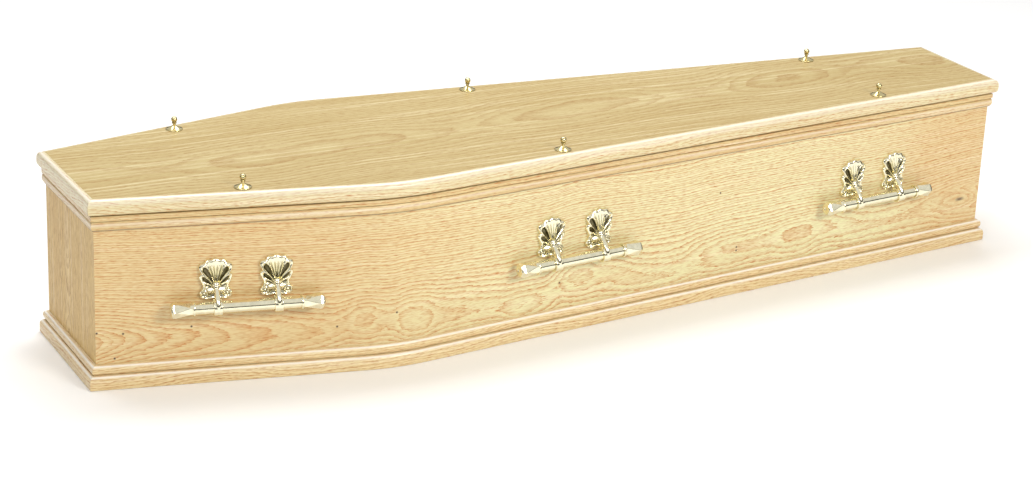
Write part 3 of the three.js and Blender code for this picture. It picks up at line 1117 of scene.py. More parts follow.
@dataclass(frozen=True)
class Plan:
    """The box in plan, over the outer faces of its boards, in millimetres."""

    length: float = 1900.0
    head_width: float = 260.0
    shoulder_width: float = 480.0
    foot_width: float = 235.0
    shoulder_from_head: float = 517.0
    bend_radius: float = 400.0
    bend_steps: int = 40

    def shoulder(self) -> Array:
        """Where the two stretches of the right side would meet."""
        return np.array([self.shoulder_from_head - self.length / 2, self.shoulder_width / 2])

    def end_x(self, end: End) -> float:
        """Where an end of the box lies."""
        return end.value * self.length / 2

    def stretch(self, end: End) -> Stretch:
        """Find the straight stretch between the shoulder and an end.

        Args:
            end: The end.

        Returns:
            The stretch, which runs towards the foot.
        """
        if end is End.HEAD:
            return Stretch.between(np.array([self.end_x(end), self.head_width / 2]), self.shoulder())
        return Stretch.between(self.shoulder(), np.array([self.end_x(end), self.foot_width / 2]))

    def places(
        self, from_head: float, past_shoulder: float, from_foot: float
    ) -> tuple[tuple[Place, End, float], ...]:
        """Where three fittings stand along a side.

        Args:
            from_head: How far the first stands from the head end.
            past_shoulder: How far the second stands past the shoulder, towards the foot.
            from_foot: How far the third stands from the foot end.

        Returns:
            Each one's place, the end whose stretch of the side it stands on, and its x.
        """
        return (
            (Place.HEAD, End.HEAD, self.end_x(End.HEAD) + from_head),
            (Place.MIDDLE, End.FOOT, self.shoulder()[0] + past_shoulder),
            (Place.FOOT, End.FOOT, self.end_x(End.FOOT) - from_foot),
        )

    def side_line(self, reach: Array, past_end: Array) -> tuple[Array, Array]:
        """The right side, moved out by each reach, from the head end to the foot end.

        A point on the bend is the bend's centre plus (radius + reach) times the direction that the side
        faces there, which turns evenly from one stretch's to the other's.

        Args:
            reach: How far out each line lies.
            past_end: How far past each end of the box it ends.

        Returns:
            The points as stations x reaches x 2, and how far along the side each lies.
        """
        head = self.stretch(End.HEAD)
        foot = self.stretch(End.FOOT)
        start_angle, end_angle = (math.atan2(s.out[1], s.out[0]) for s in (head, foot))
        tangent = self.bend_radius * math.tan((start_angle - end_angle) / 2)
        centre = self.shoulder() - tangent * head.along - self.bend_radius * head.out
        angles = np.linspace(start_angle, end_angle, self.bend_steps + 1)
        facing = np.stack([np.cos(angles), np.sin(angles)], axis=-1)
        bend = centre + facing[:, None, :] * (self.bend_radius + reach)[None, :, None]
        first = head.at(reach, self.end_x(End.HEAD) - past_end)
        last = foot.at(reach, self.end_x(End.FOOT) + past_end)
        bent = self.bend_radius * (start_angle - angles)
        round_bend = np.broadcast_to(bent[:, None], bend.shape[:2])
        before = -np.linalg.norm(first - bend[0], axis=-1)
        after = round_bend[-1] + np.linalg.norm(last - bend[-1], axis=-1)
        points = np.concatenate([first[None], bend, last[None]])
        return points, np.concatenate([before[None], round_bend, after[None]])

    def corner(self, end: End, reach: Array) -> Array:
        """The right corner of an end, moved out by each reach both ways."""
        return self.stretch(end).at(reach, self.end_x(end) + end.value * reach)


def girth(line: Array) -> Array:
    """How far round its outline each point lies, with the first point once more at the end."""
    closed = np.vstack([line, line[:1]])
    return np.append(0.0, np.cumsum(np.linalg.norm(np.diff(closed, axis=0), axis=1)))


def filled(line: Array, step: float = 0.8) -> Array:
    """Add points evenly along the edges of a closed outline.

    Args:
        line: The outline.
        step: How long an edge may be.

    Returns:
        The outline with its new points.
    """
    runs = []
    for start, end in zip(line, np.roll(line, -1, axis=0)):
        parts = max(1, math.ceil(np.linalg.norm(end - start) / step))
        runs.append(np.linspace(start, end, parts, endpoint=False))
    return np.vstack(runs)


@dataclass(frozen=True)
class Mark:
    """A place on a section that gets painted shade, or a painted highlight.

    Attributes:
        reach: How far out its middle lies.
        height: How high its middle lies.
        width: How far it spreads.
        strength: How strong it is, up to 1 for painted shade and down to -1 for a painted highlight.
    """

    reach: float
    height: float
    width: float
    strength: float


def painted_light_at(line: Array, marks: Sequence[Mark]) -> Array:
    """How much painted shade, above 0, and painted highlight, below 0, each point of a section gets.

    The marks are added up, each as its strength times a bell over the distance from its middle.

    Args:
        line: The section's outline.
        marks: Its marks.

    Returns:
        A value from -1 to 1 for each point.
    """
    painted_light = np.zeros(len(line))
    for mark in marks:
        away = np.hypot(line[:, 0] - mark.reach, line[:, 1] - mark.height)
        painted_light = painted_light + mark.strength * swell(away, 0.0, mark.width)
    return np.clip(painted_light, -1, 1)


@dataclass(frozen=True)
class Run:
    """An outline of (reach, height) points carried along the box.

    Attributes:
        plan: The box in plan.
        profile: The outline.
        across: Where each of its points lies across the grain, with the first once more at the end.
        painted_light: The painted shade, above 0, and painted highlight, below 0, at each of its points.
    """

    plan: Plan
    profile: Array
    across: Array
    painted_light: Array

    def rings(self, line: Array, height: Array) -> Array:
        """Rings of 3-D points from plan points and the outline's heights."""
        tall = np.broadcast_to(height, line.shape[:2])
        return np.concatenate([line, tall[..., None]], axis=-1)

    def mapped(self, along: Array, start: float) -> Array:
        """The grain coordinates of rings, from how far along each point lies."""
        closed = np.concatenate([along, along[:, :1]], axis=1) + start
        return np.stack([closed, np.broadcast_to(self.across, closed.shape)], axis=-1)

    def side(self, side: Side, past_end: Array, start: float, end_finish: int = 0) -> Skin:
        """The piece along a side.

        Args:
            side: The side.
            past_end: How far past the ends of the box each point of the outline runs.
            start: Where the grain starts, which sets a piece apart from the others.
            end_finish: The number of the end faces' material.

        Returns:
            The piece.
        """
        line, along = self.plan.side_line(self.profile[:, 0], past_end)
        line = line * np.array([1, side.value])
        rings = self.rings(line, self.profile[:, 1])
        painted_light = np.broadcast_to(self.painted_light, rings.shape[:2])
        return Skin.through(rings, self.mapped(along - along.min(), start), painted_light, end_finish=end_finish)

    def end(self, end: End, start: float) -> Skin:
        """The piece across an end, from mitre to mitre.

        Args:
            end: The end.
            start: Where the grain starts.

        Returns:
            The piece.
        """
        corner = self.plan.corner(end, self.profile[:, 0])
        line = np.stack([corner * np.array([1, -1]), corner])
        rings = self.rings(line, self.profile[:, 1])
        painted_light = np.broadcast_to(self.painted_light, rings.shape[:2])
        return Skin.through(rings, self.mapped(line[..., 1], start), painted_light)


@dataclass(frozen=True)
class Boards:
    """The boards of the box and the lid: veneered board, its grain lengthwise, or upright at the ends.

    The flat boards keep their nodes of the frame. The side boards are bent at the shoulder, so they get a
    smooth bend and a veneer that follows it.
    """

    plan: Plan
    thickness: float = 18.0
    right_start: float = 9000.0

    def side_profile(self) -> tuple[Array, Array]:
        """The section of a side board.

        Returns:
            Its outline, as (reach, height), and the painted shade on it just under the rim moulding.
        """
        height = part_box("side_board_left")[1].z / MM
        base_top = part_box("base_moulding_head")[1].z / MM
        rim_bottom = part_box("rim_moulding_head")[0].z / MM
        rows = (
            0,
            *(base_top + above for above in (0, 1, 3)),
            *(rim_bottom + above for above in (-3, -1.5, 1)),
            height,
        )
        line = outline((-self.thickness, 0), [(0, row) for row in rows], (-self.thickness, height))
        # Painted shade on the board just under the rim moulding
        return line, painted_light_at(line, (Mark(0, rim_bottom, 1.5, 0.6),))

    def build(self) -> None:
        """Make the side boards and dress the flat ones."""
        upright = UPRIGHT_VENEER.material()
        profile, painted_light = self.side_profile()
        run = Run(self.plan, profile, np.append(profile[:, 1], profile[0, 1]), painted_light)
        for side, start, veneer in (
            (Side.LEFT, 0.0, LEFT_VENEER),
            (Side.RIGHT, self.right_start, RIGHT_VENEER),
        ):
            skin = run.side(side, np.zeros(len(profile)), start, end_finish=1)
            stand_for(f"side_board_{label(side)}", skin, Slot.BOARD, [veneer.material(), upright])
        for node, material in (
            ("lid_board", LID_VENEER.material()),
            ("base_board", BASE_VENEER.material()),
            ("head_board", upright),
            ("foot_board", upright),
        ):
            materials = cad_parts[node].data.materials
            materials.clear()
            materials.append(material)
            log.info("%s: keeps its node, in %s", node, material.name)


class Section(Protocol):
    """The section of a moulding."""

    def points(self) -> Array:
        """The section, as (reach, height)."""

    def marks(self) -> tuple[Mark, ...]:
        """Where its painted shade and painted highlights lie."""


@dataclass(frozen=True)
class Moulding:
    """One kind of moulding, planted all round the box or the lid and mitred at the corners.

    Attributes:
        plan: The box in plan.
        kind: The start of its nodes' names.
        section: Its section.
        finish: Its wood.
        start: Where its grain starts.
        own_length: From where the grain of one piece starts to where the next one's does.
    """

    plan: Plan
    kind: str
    section: Section
    finish: Oak
    start: float
    own_length: float = 3100.0

    def build(self) -> None:
        """Make the pieces along the sides and across the ends, each from its own length of wood."""
        material = self.finish.material()
        profile = filled(self.section.points())
        run = Run(self.plan, profile, girth(profile), painted_light_at(profile, self.section.marks()))
        starts = iter(self.start + self.own_length * np.arange(len(Side) + len(End)))
        for side in Side:
            skin = run.side(side, profile[:, 0] - SEAM, next(starts))
            stand_for(f"{self.kind}_{label(side)}", skin, Slot.MOULDING, [material])
        for end in End:
            skin = run.end(end, next(starts))
            stand_for(f"{self.kind}_{label(end)}", skin, Slot.MOULDING, [material])


@dataclass(frozen=True)
class BaseProfile:
    """The section of the base moulding: a bead over a groove over a rounded plinth."""

    height: float = 43.0
    reach: float = 15.0
    face_height: float = 13.0
    groove_reach: float = 5.5
    groove_height: float = 25.0
    bead_reach: float = 9.5
    bead_height: float = 15.0
    arris: float = 1.5
    back: float = SEAM

    def points(self) -> Array:
        """Lay out the section.

        Returns:
            Its outline, as (reach, height).
        """
        bead_middle = self.groove_height + self.arris + self.bead_height / 2
        bead = (self.bead_reach - self.groove_reach, self.bead_height / 2)
        return outline(
            (self.back, 0),
            curve((self.reach - self.arris, 0), (self.reach, 0), (self.reach, self.arris), 4),
            curve(
                (self.reach, self.face_height),
                (self.reach, self.groove_height),
                (self.groove_reach, self.groove_height),
                14,
            ),
            arc((self.groove_reach, bead_middle), bead, (-90, 90)),
            (self.back, self.height),
        )

    def marks(self) -> tuple[Mark, ...]:
        """The groove gets painted shade, and the bead's top and the plinth's shoulder get painted
        highlights.

        Returns:
            The marks.
        """
        shoulder = (self.reach - self.groove_reach) / 3
        return (
            Mark(self.groove_reach, self.groove_height, 1.4, 0.35),
            Mark(self.groove_reach + 1, self.height - 2, 2.2, -1.0),
            Mark(self.reach - shoulder, self.groove_height - shoulder / 2, 2.4, -0.9),
        )


@dataclass(frozen=True)
class RimProfile:
    """The section of the rim moulding: a flat fillet over a groove over a bead."""

    reach: float = 6.0
    groove_reach: float = 3.0
    bead_height: float = 15.0
    fillet_height: float = 9.0
    arris: float = 1.5
    back: float = SEAM

    def points(self) -> Array:
        """Lay out the section.

        Returns:
            Its outline, as (reach, height).
        """
        low, high = (corner.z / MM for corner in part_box("rim_moulding_head"))
        bead_middle = low + self.arris + self.bead_height / 2
        fillet_bottom = high - self.fillet_height
        return outline(
            (self.back, low),
            (self.groove_reach, low),
            arc(
                (self.groove_reach, bead_middle),
                (self.reach - self.groove_reach, self.bead_height / 2),
                (-90, 90),
            ),
            curve(
                (self.groove_reach, fillet_bottom - self.arris),
                (self.groove_reach, fillet_bottom),
                (self.reach, fillet_bottom),
                5,
            ),
            curve((self.reach, high - self.arris), (self.reach, high), (self.reach - self.arris, high), 4),
            (self.back, high),
        )

    def marks(self) -> tuple[Mark, ...]:
        """The joints below and above and the groove get painted shade, and the bead gets a painted
        highlight.

        Returns:
            The marks.
        """
        low, high = (corner.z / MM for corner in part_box("rim_moulding_head"))
        bead_middle = low + self.arris + self.bead_height / 2
        return (
            Mark(self.groove_reach, low, 1.4, 0.7),
            Mark(self.reach, high, 1.0, 0.5),
            Mark(self.groove_reach, high - self.fillet_height - self.arris, 1.4, 0.35),
            Mark(self.reach - 0.4, bead_middle + 2, 2.4, -0.3),
        )


@dataclass(frozen=True)
class LidEdgeProfile:
    """The section of the lid's edging: a nose rounded above and below."""

    reach: float = 13.0
    nose_round: float = 12.0
    under_round: float = 9.0
    back: float = SEAM

    def points(self) -> Array:
        """Lay out the section.

        Returns:
            Its outline, as (reach, height).
        """
        low, high = (corner.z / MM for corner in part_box("lid_edge_head"))
        return outline(
            (self.back, low),
            curve(
                (self.reach - self.under_round, low),
                (self.reach, low),
                (self.reach, low + self.under_round),
            ),
            curve(
                (self.reach, high - self.nose_round),
                (self.reach, high),
                (self.reach - self.nose_round, high),
                16,
            ),
            (self.back, high),
        )

    def marks(self) -> tuple[Mark, ...]:
        """The joint below gets painted shade, and the nose gets a painted highlight, strongest at its top.

        Returns:
            The marks.
        """
        low, high = (corner.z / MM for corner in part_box("lid_edge_head"))
        return (
            Mark(self.reach - self.under_round, low, 1.6, 0.7),
            Mark(self.reach - self.nose_round / 2, high - 1, 3.0, -0.6),
            Mark(self.reach - 1, high - self.nose_round / 2, 4.0, -0.3),
        )


def lathe(profile: Array, sides: int) -> Array:
    """Turn a profile round the Z axis: (radius cos, radius sin, height) at each of the sides' angles.

    Args:
        profile: The profile, as (radius, height).
        sides: How many points each ring has.

    Returns:
        The rings.
    """
    angle = np.linspace(0, 2 * np.pi, sides, endpoint=False)
    radius, height = profile[:, :1], profile[:, 1:]
    tall = np.broadcast_to(height, (len(profile), sides))
    return np.stack([radius * np.cos(angle), radius * np.sin(angle), tall], axis=-1)


@dataclass(frozen=True)
class LidScrews:
    """The six turned lid screws: a spread foot, a stem with a small collar, and a ball."""

    plan: Plan
    inset: float = 17.0
    foot_radius: float = 15.5
    foot_edge: float = 1.5
    foot_height: float = 8.0
    stem_radius: float = 2.8
    stem_height: float = 5.5
    collar_radius: float = 4.6
    ball_radius: float = 5.8
    from_head: float = 255.0
    past_shoulder: float = 350.0
    from_foot: float = 285.0
    sides: int = 40

    def profile(self) -> Array:
        """Lay out the screw's section.

        Returns:
            Its points, as (radius, height) from its foot.
        """
        collar = self.foot_height + self.stem_height
        ball_start = math.degrees(math.asin(self.stem_radius / self.ball_radius))
        ball_middle = collar + self.ball_radius * math.cos(math.radians(ball_start))
        edge = self.foot_edge
        return outline(
            (self.foot_radius - edge / 2, 0),
            curve((self.foot_radius - edge / 2, 0), (self.foot_radius, 0), (self.foot_radius, edge / 2), 4),
            curve(
                (self.foot_radius, edge / 2), (self.foot_radius, edge), (self.foot_radius - edge, edge), 4
            ),
            curve(
                (self.foot_radius - edge, edge + edge / 4),
                (self.foot_radius / 2, self.foot_height / 2),
                (self.stem_radius, self.foot_height),
                14,
            ),
            curve(
                (self.stem_radius, collar - 2 * edge),
                (self.collar_radius, collar - 2 * edge),
                (self.collar_radius, collar - edge / 2),
                6,
            ),
            curve(
                (self.collar_radius, collar - edge / 2),
                (self.collar_radius, collar),
                (self.stem_radius + edge / 3, collar),
                5,
            ),
            arc((0, ball_middle), (self.ball_radius, self.ball_radius), (ball_start - 90, 89.5), 28),
        )

    def seats(self) -> Iterator[tuple[Side, Place, Array]]:
        """Yield each screw's side, place and middle in plan."""
        places = self.plan.places(self.from_head, self.past_shoulder, self.from_foot)
        for side in Side:
            for place, end, x in places:
                seat = self.plan.stretch(end).at(np.array(-self.inset), np.array(x))
                yield side, place, seat * np.array([1, side.value])

    def build(self) -> None:
        """Make the six screws."""
        material = Brass("polished_old_brass", "#d8ca98", "#5e5230", 0.16, 9.0).material()
        turned = Skin.through(lathe(self.profile(), self.sides))
        for side, place, seat in self.seats():
            node = f"lid_screw_{label(side)}_{label(place)}"
            foot = np.array([*seat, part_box(node)[0].z / MM])
            stand_for(node, turned.moved(turned.points + foot), Slot.SCREW, [material])


@dataclass(frozen=True)
class Lobe:
    """A round lobe of the leaf's outline.

    Attributes:
        across: How far aside of the root its middle lies, on both sides.
        up: How far above the root its middle lies.
        radius: Its radius.
    """

    across: float
    up: float
    radius: float


@dataclass(frozen=True)
class Leaf:
    """The leaf plate of a bracket: a palmette whose flutes fan out from under the arm and bend outwards.

    The outer leaves curl over at the top corners, with a deep hollow under each, a second pair of leaves
    stands below them, and a scroll with a round eye ends each bottom corner.

    Attributes:
        root_height: How far the root lies above the bar's axis.
        focus: How far below the root the flutes run together.
        lobes: The lobes of its outline.
        waist: The direction of the narrow waist from the focus, in degrees, and the leaf's reach there.
        web: How far the outline lies back from the lobes' tips between them.
        flutes: The direction of each ridge and hollow at the edge, in degrees, and its relief.
        fading: How far the flutes hold, by the share of the way from the focus to the edge.
        profile: The relief that the flutes are added to, by the share of that way.
        curls: The lip and the hollow of each leaf that curls over: how far it rises, its direction and
            width in degrees, and its place and width by the share of the way.
        scroll: The middle of a scroll, aside of the root and above it.
        scroll_radius: The radius of a scroll.
        scroll_floor: How far the face stands out in a scroll, between its ring and its eye.
        scroll_ring: How far the ring rises, its radius as a share of the scroll's, and its width.
        scroll_eye: How far the eye rises, and its width.
        scroll_rim: The shares of the scroll's radius between which it turns into the leaf.
        bend: How strongly the flutes bend outwards.
        edge: How far its edge stands off the side.
        rim: The share of the way over which the face turns down to the edge.
        dark: The relief under which the hollows get painted shade, and over how much relief it deepens.
        around: How many points each ring has.
        inwards: The share of the way of the first ring inside the rim, and of the last.
        rings: How many rings there are inside the rim.
    """

    root_height: float = 33.0
    focus: float = 8.0
    lobes: tuple[Lobe, ...] = (
        Lobe(0.0, 43.5, 7.5),
        Lobe(12.3, 42.3, 6.6),
        Lobe(21.6, 33.6, 8.4),
        Lobe(22.3, 16.5, 7.3),
        Lobe(20.0, -14.5, 8.8),
        Lobe(0.0, -14.0, 9.0),
    )
    waist: tuple[float, float] = (74.0, 24.0)
    web: float = 1.6
    flutes: tuple[tuple[float, float], ...] = (
        (0.0, 1.6),
        (5.0, -1.2),
        (10.0, 1.6),
        (15.5, -1.4),
        (20.5, 3.0),
        (27.0, -3.8),
        (33.5, -3.8),
        (39.5, 2.4),
        (46.0, -3.2),
        (51.0, -3.2),
        (59.0, 1.0),
        (70.0, -2.6),
        (84.0, -0.8),
        (108.0, 0.6),
        (140.0, -1.4),
        (180.0, 0.0),
    )
    fading: tuple[tuple[float, float], ...] = ((0.05, 0.0), (0.4, 1.0), (0.74, 1.0), (0.88, 0.15))
    profile: tuple[tuple[float, float], ...] = (
        (0.0, 9.0),
        (0.16, 8.4),
        (0.55, 5.9),
        (0.9, 6.8),
        (1.0, 6.8),
    )
    curls: tuple[tuple[float, float, float, float, float], ...] = (
        (2.6, 26.0, 5.5, 0.9, 0.06),
        (-1.8, 29.5, 4.0, 0.72, 0.12),
        (1.8, 40.5, 6.0, 0.88, 0.07),
        (-1.2, 47.0, 4.5, 0.66, 0.13),
    )
    scroll: tuple[float, float] = (20.0, -14.5)
    scroll_radius: float = 8.8
    scroll_floor: float = 4.3
    scroll_ring: tuple[float, float, float] = (1.8, 0.66, 1.7)
    scroll_eye: tuple[float, float] = (2.4, 2.1)
    scroll_rim: tuple[float, float] = (0.72, 1.05)
    bend: float = 0.55
    edge: float = 2.5
    rim: float = 0.1
    dark: tuple[float, float] = (6.5, 3.2)
    around: int = 300
    inwards: tuple[float, float] = (0.895, 0.02)
    rings: int = 46

    def reach(self, degrees: Array) -> Array:
        """How far the leaf reaches from the focus in each direction.

        Where a lobe's middle lies at distance d and an angle a aside, its far edge lies at d cos a plus
        the root of (r squared minus (d sin a) squared). The farthest lobe counts, but the leaf is never
        short of a web through points a little back from the lobes' tips, and through the waist.

        Args:
            degrees: The directions, from straight up.

        Returns:
            The reaches.
        """
        knots = [self.waist]
        farthest = np.zeros(degrees.shape)
        for lobe in self.lobes:
            distance = math.hypot(lobe.across, lobe.up + self.focus)
            angle = math.degrees(math.atan2(lobe.across, lobe.up + self.focus))
            knots.append((angle, distance + lobe.radius - self.web))
            for own in (angle, -angle):
                off = np.radians(degrees - own)
                under = lobe.radius**2 - (distance * np.sin(off)) ** 2
                far = distance * np.cos(off) + np.sqrt(np.maximum(under, 0))
                farthest = np.maximum(farthest, np.where((under > 0) & (np.cos(off) > 0), far, 0))
        return np.maximum(farthest, smooth_through(np.abs(degrees), sorted(knots)))

    def relief(self, degrees: Array, s: Array, across: Array, up: Array) -> Array:
        """How far the face stands out from the side.

        The profile and the flutes are added. The flutes fade towards the focus, and towards the edge,
        which has an even rim. A lip rises where the outer and the second leaves curl over, with a hollow
        inwards of it. Inside a scroll the face is a raised ring round a raised eye. At the edge the face
        turns down in a quarter of an ellipse.

        Args:
            degrees: The direction of each spoke at the edge.
            s: Each ring's share of the way from the focus to the edge.
            across: How far aside of the root each point lies.
            up: How far above the root each point lies.

        Returns:
            The relief at each point.
        """
        size = np.abs(degrees)
        flutes = smooth_through(size, self.flutes) * smooth_through(s, self.fading)
        height = smooth_through(s, self.profile) + flutes
        for rise, direction, spread, way, depth in self.curls:
            height = height + rise * swell(size, direction, spread) * swell(s, way, depth)
        radius = np.hypot(np.abs(across) - self.scroll[0], up - self.scroll[1])
        rise, share, width = self.scroll_ring
        scroll = self.scroll_floor + rise * swell(radius, share * self.scroll_radius, width)
        rise, width = self.scroll_eye
        scroll = scroll + rise * swell(radius, 0.0, width)
        within, without = (share * self.scroll_radius for share in self.scroll_rim)
        inside = smooth_through(radius, [(within, 1.0), (without, 0.0)])
        height = height * (1 - inside) + scroll * inside
        turn = np.sqrt(np.clip(1 - (np.maximum(s - (1 - self.rim), 0) / self.rim) ** 2, 0, 1))
        return self.edge + (np.maximum(height, self.edge) - self.edge) * turn

    def skin(self) -> Skin:
        """The leaf plate.

        A spoke's direction is its direction at the edge less bend (1 - s) times its sine, so it sets off
        nearly straight up and bends outwards.

        Returns:
            The leaf plate, with the painted shade of its hollows in its recess.
        """
        degrees = np.linspace(-180, 180, self.around, endpoint=False)
        edge_rings = 1 - self.rim * np.sin(np.linspace(0, np.pi / 2, 9)[:-1])
        s = np.concatenate([edge_rings, np.linspace(*self.inwards, self.rings)])[:, None]
        angle = np.radians(degrees)
        angle = angle - self.bend * (1 - s) * np.sin(angle)
        run = self.reach(degrees) * s
        across = run * np.sin(angle)
        up = run * np.cos(angle) - self.focus
        height = self.relief(degrees, s, across, up)
        # Painted shade, deeper where the relief is lower, and left off the rim
        shallow, over = self.dark
        recess = np.clip((shallow - height) / over, 0, 1) * (s < 1 - self.rim)
        face = np.stack([across, height, up + self.root_height], axis=-1)
        back = face[:1] * np.array([1, 0, 1]) + np.array([0, SEAM, 0])
        return Skin.through(np.concatenate([back, face]), recess=np.concatenate([recess[:1], recess]))


@dataclass(frozen=True)
class Bracket:
    """A cast bracket: a leaf plate, an arm, and a ring with a clear bore for the bar.

    X runs along the bar, Y out from the side, and Z up from the bar's axis.
    """

    leaf: Leaf = field(default_factory=Leaf)
    ring_wall: float = 3.8
    ring_width: float = 15.5
    ring_round: float = 1.6
    arm_width: float = 9.5
    arm_round: float = 4.4
    knuckle: float = 8.0
    ball_above_root: float = 3.0
    ball_radii: tuple[float, float, float] = (6.6, 6.0, 6.5)

    def arm(self) -> Skin:
        """The arm: its side view carried across its width, with the edges drawn in to round them.

        The side view is drawn in along its own normals by r (1 - sin a) where it lies r (1 - cos a) in
        from the arm's side.

        Returns:
            The arm.
        """
        ring = BAR_RADIUS + BAR_PLAY + self.ring_wall
        front = STAND_OFF + ring
        edge = self.leaf.edge
        root = self.leaf.root_height
        top = root + self.knuckle
        view = outline(
            (edge, root - ring),
            curve((edge + 1, root - ring), (STAND_OFF - ring, ring / 2), (STAND_OFF - ring, 0), 10),
            (front - 1, 0),
            curve((front, 3), (front, ring + 1.5), (STAND_OFF - ring / 2, root), 18),
            curve((STAND_OFF - ring / 2, root), (self.knuckle * 2, top), (edge, top), 14)[1:],
        )
        ahead = np.roll(view, -1, axis=0) - np.roll(view, 1, axis=0)
        normal = np.stack([ahead[:, 1], -ahead[:, 0]], axis=-1) / np.linalg.norm(ahead, axis=1)[:, None]
        turn = np.radians(np.linspace(0, 90, 7))
        inset = self.arm_round * (1 - np.sin(turn))
        at = self.arm_width / 2 - self.arm_round * (1 - np.cos(turn))
        inset, at = np.append(inset, inset[::-1]), np.append(-at, at[::-1])
        flat = view[None] - normal[None] * inset[:, None, None]
        wide = np.broadcast_to(at[:, None], flat.shape[:2])
        return Skin.through(np.stack([wide, flat[..., 0], flat[..., 1]], axis=-1))

    def ring(self) -> Skin:
        """The ring: a rounded section turned round the bar's axis.

        Returns:
            The ring.
        """
        inner = BAR_RADIUS + BAR_PLAY
        outer = inner + self.ring_wall
        half = self.ring_width / 2
        r = self.ring_round
        section = outline(
            (-half, inner),
            (half, inner),
            arc((half - r, outer - r), (r, r), (0, 90), 6),
            arc((r - half, outer - r), (r, r), (90, 180), 6),
        )
        angle = np.linspace(0, 2 * np.pi, 56, endpoint=False)[:, None]
        width = np.broadcast_to(section[:, 0], (len(angle), len(section)))
        out = STAND_OFF + section[:, 1] * np.cos(angle)
        up = section[:, 1] * np.sin(angle)
        return Skin.through(np.stack([width, out, up], axis=-1), looped=True)

    def ball(self) -> Skin:
        """The knuckle where the arm leaves the leaf: a ball, stretched to its radii.

        Returns:
            The ball.
        """
        section = arc((0, 0), (1, 1), (-89, 89), 16)
        middle = np.array([0, self.leaf.profile[0][1], self.leaf.root_height + self.ball_above_root])
        return Skin.through(lathe(section, 24) * np.array(self.ball_radii) + middle)

    def casting(self) -> Skin:
        """The whole bracket."""
        return Skin.joined([self.leaf.skin(), self.arm(), self.ring(), self.ball()])


def turned_along_x(x: Array, radius: Array, sides: int) -> Skin:
    """Turn a profile round the bar's axis: (x, stand-off + radius cos, radius sin) at each angle.

    Args:
        x: Where each ring stands.
        radius: Its radius, one for all its points or one for each.
        sides: How many points each ring has.

    Returns:
        The turned body.
    """
    angle = np.linspace(0, 2 * np.pi, sides, endpoint=False)
    wide = np.broadcast_to(radius if radius.ndim == 2 else radius[:, None], (len(x), sides))
    flat = np.broadcast_to(x[:, None], wide.shape)
    return Skin.through(np.stack([flat, STAND_OFF + wide * np.cos(angle), wide * np.sin(angle)], axis=-1))


@dataclass(frozen=True)
class Bar:
    """The bar of a handle: a round tube along X, its ends hidden in the tips."""

    length: float = 198.0
    arris: float = 0.5
    sides: int = 48

    def rod(self) -> Skin:
        """The bar, with the edges of its ends slightly broken.

        Returns:
            The bar.
        """
        half = self.length / 2
        x = np.array([-half, -half + self.arris, half - self.arris, half])
        radius = BAR_RADIUS - np.array([self.arris, 0.0, 0.0, self.arris])
        return turned_along_x(x, radius, self.sides)


@dataclass(frozen=True)
class Tip:
    """The tip of a bar: a beaded collar, a neck, a faceted flare and a rounded end with a dimple.

    The flare's facets are two sets of six long triangles. Those of one set widen from a point at the neck
    to the rim, and those of the other narrow from the neck to a corner of the rim.
    """

    length: float = 42.0
    socket_depth: float = 7.0
    wall: float = 1.3
    collar_reach: float = 2.8
    collar_width: float = 4.0
    flare: float = 4.0
    end_length: float = 9.0
    end_radius: float = 8.5
    end_rim: float = 1.2
    dimple_radius: float = 5.0
    dimple_depth: float = 2.0
    sides: int = 96

    def body(self) -> Skin:
        """The tip, from the mouth of its socket at x = 0.

        Each facet is a flat face, so along a direction a aside of its middle it lies at its distance
        there, divided by cos a, and the nearest facet counts.

        Returns:
            The tip.
        """
        socket = BAR_RADIUS + BAR_PLAY
        neck = socket + self.wall
        collar = BAR_RADIUS + self.collar_reach
        rim = BAR_RADIUS + self.flare
        rim_at = self.length - self.end_length
        facets_at = self.socket_depth + 1
        flat = math.cos(math.pi / 6)
        angle = np.linspace(0, 2 * np.pi, self.sides, endpoint=False)
        to_corner = (angle + np.pi / 6) % (np.pi / 3) - np.pi / 6
        to_face = angle % (np.pi / 3) - np.pi / 6
        bead = np.linspace(0, np.pi, 13)
        bead_x = self.collar_width / 2 * (1 - np.cos(bead))
        bead_radius = neck + (collar - neck) * np.sin(bead) ** 0.7
        t = np.linspace(0, 1, 20)[:, None]
        widening = neck + (rim * flat - neck) * t
        narrowing = neck * flat + (rim - neck * flat) * t
        faceted = np.minimum(widening / np.cos(to_face), narrowing / np.cos(to_corner))
        turn = np.linspace(0, np.pi / 2, 10)[1:, None]
        rounded = self.end_radius + (faceted[-1] - self.end_radius) * np.cos(turn) ** 0.9
        cup = np.linspace(1, 0.02, 9)[:, None]
        runs = (
            (np.array([self.socket_depth]), np.array([[socket]])),
            (np.array([0.0]), np.array([[socket]])),
            (bead_x, bead_radius[:, None]),
            (facets_at + (rim_at - facets_at) * t[:, 0], faceted),
            (rim_at + self.end_length * np.sin(turn[:, 0]), rounded),
            (np.array([self.length]), np.array([[self.dimple_radius + self.end_rim]])),
            (self.length - self.dimple_depth * (1 - cup[:, 0] ** 2), self.dimple_radius * cup),
        )
        stations = np.concatenate([run[0] for run in runs])
        radii = np.concatenate([np.broadcast_to(run[1], (len(run[0]), self.sides)) for run in runs])
        return turned_along_x(stations, radii, self.sides)


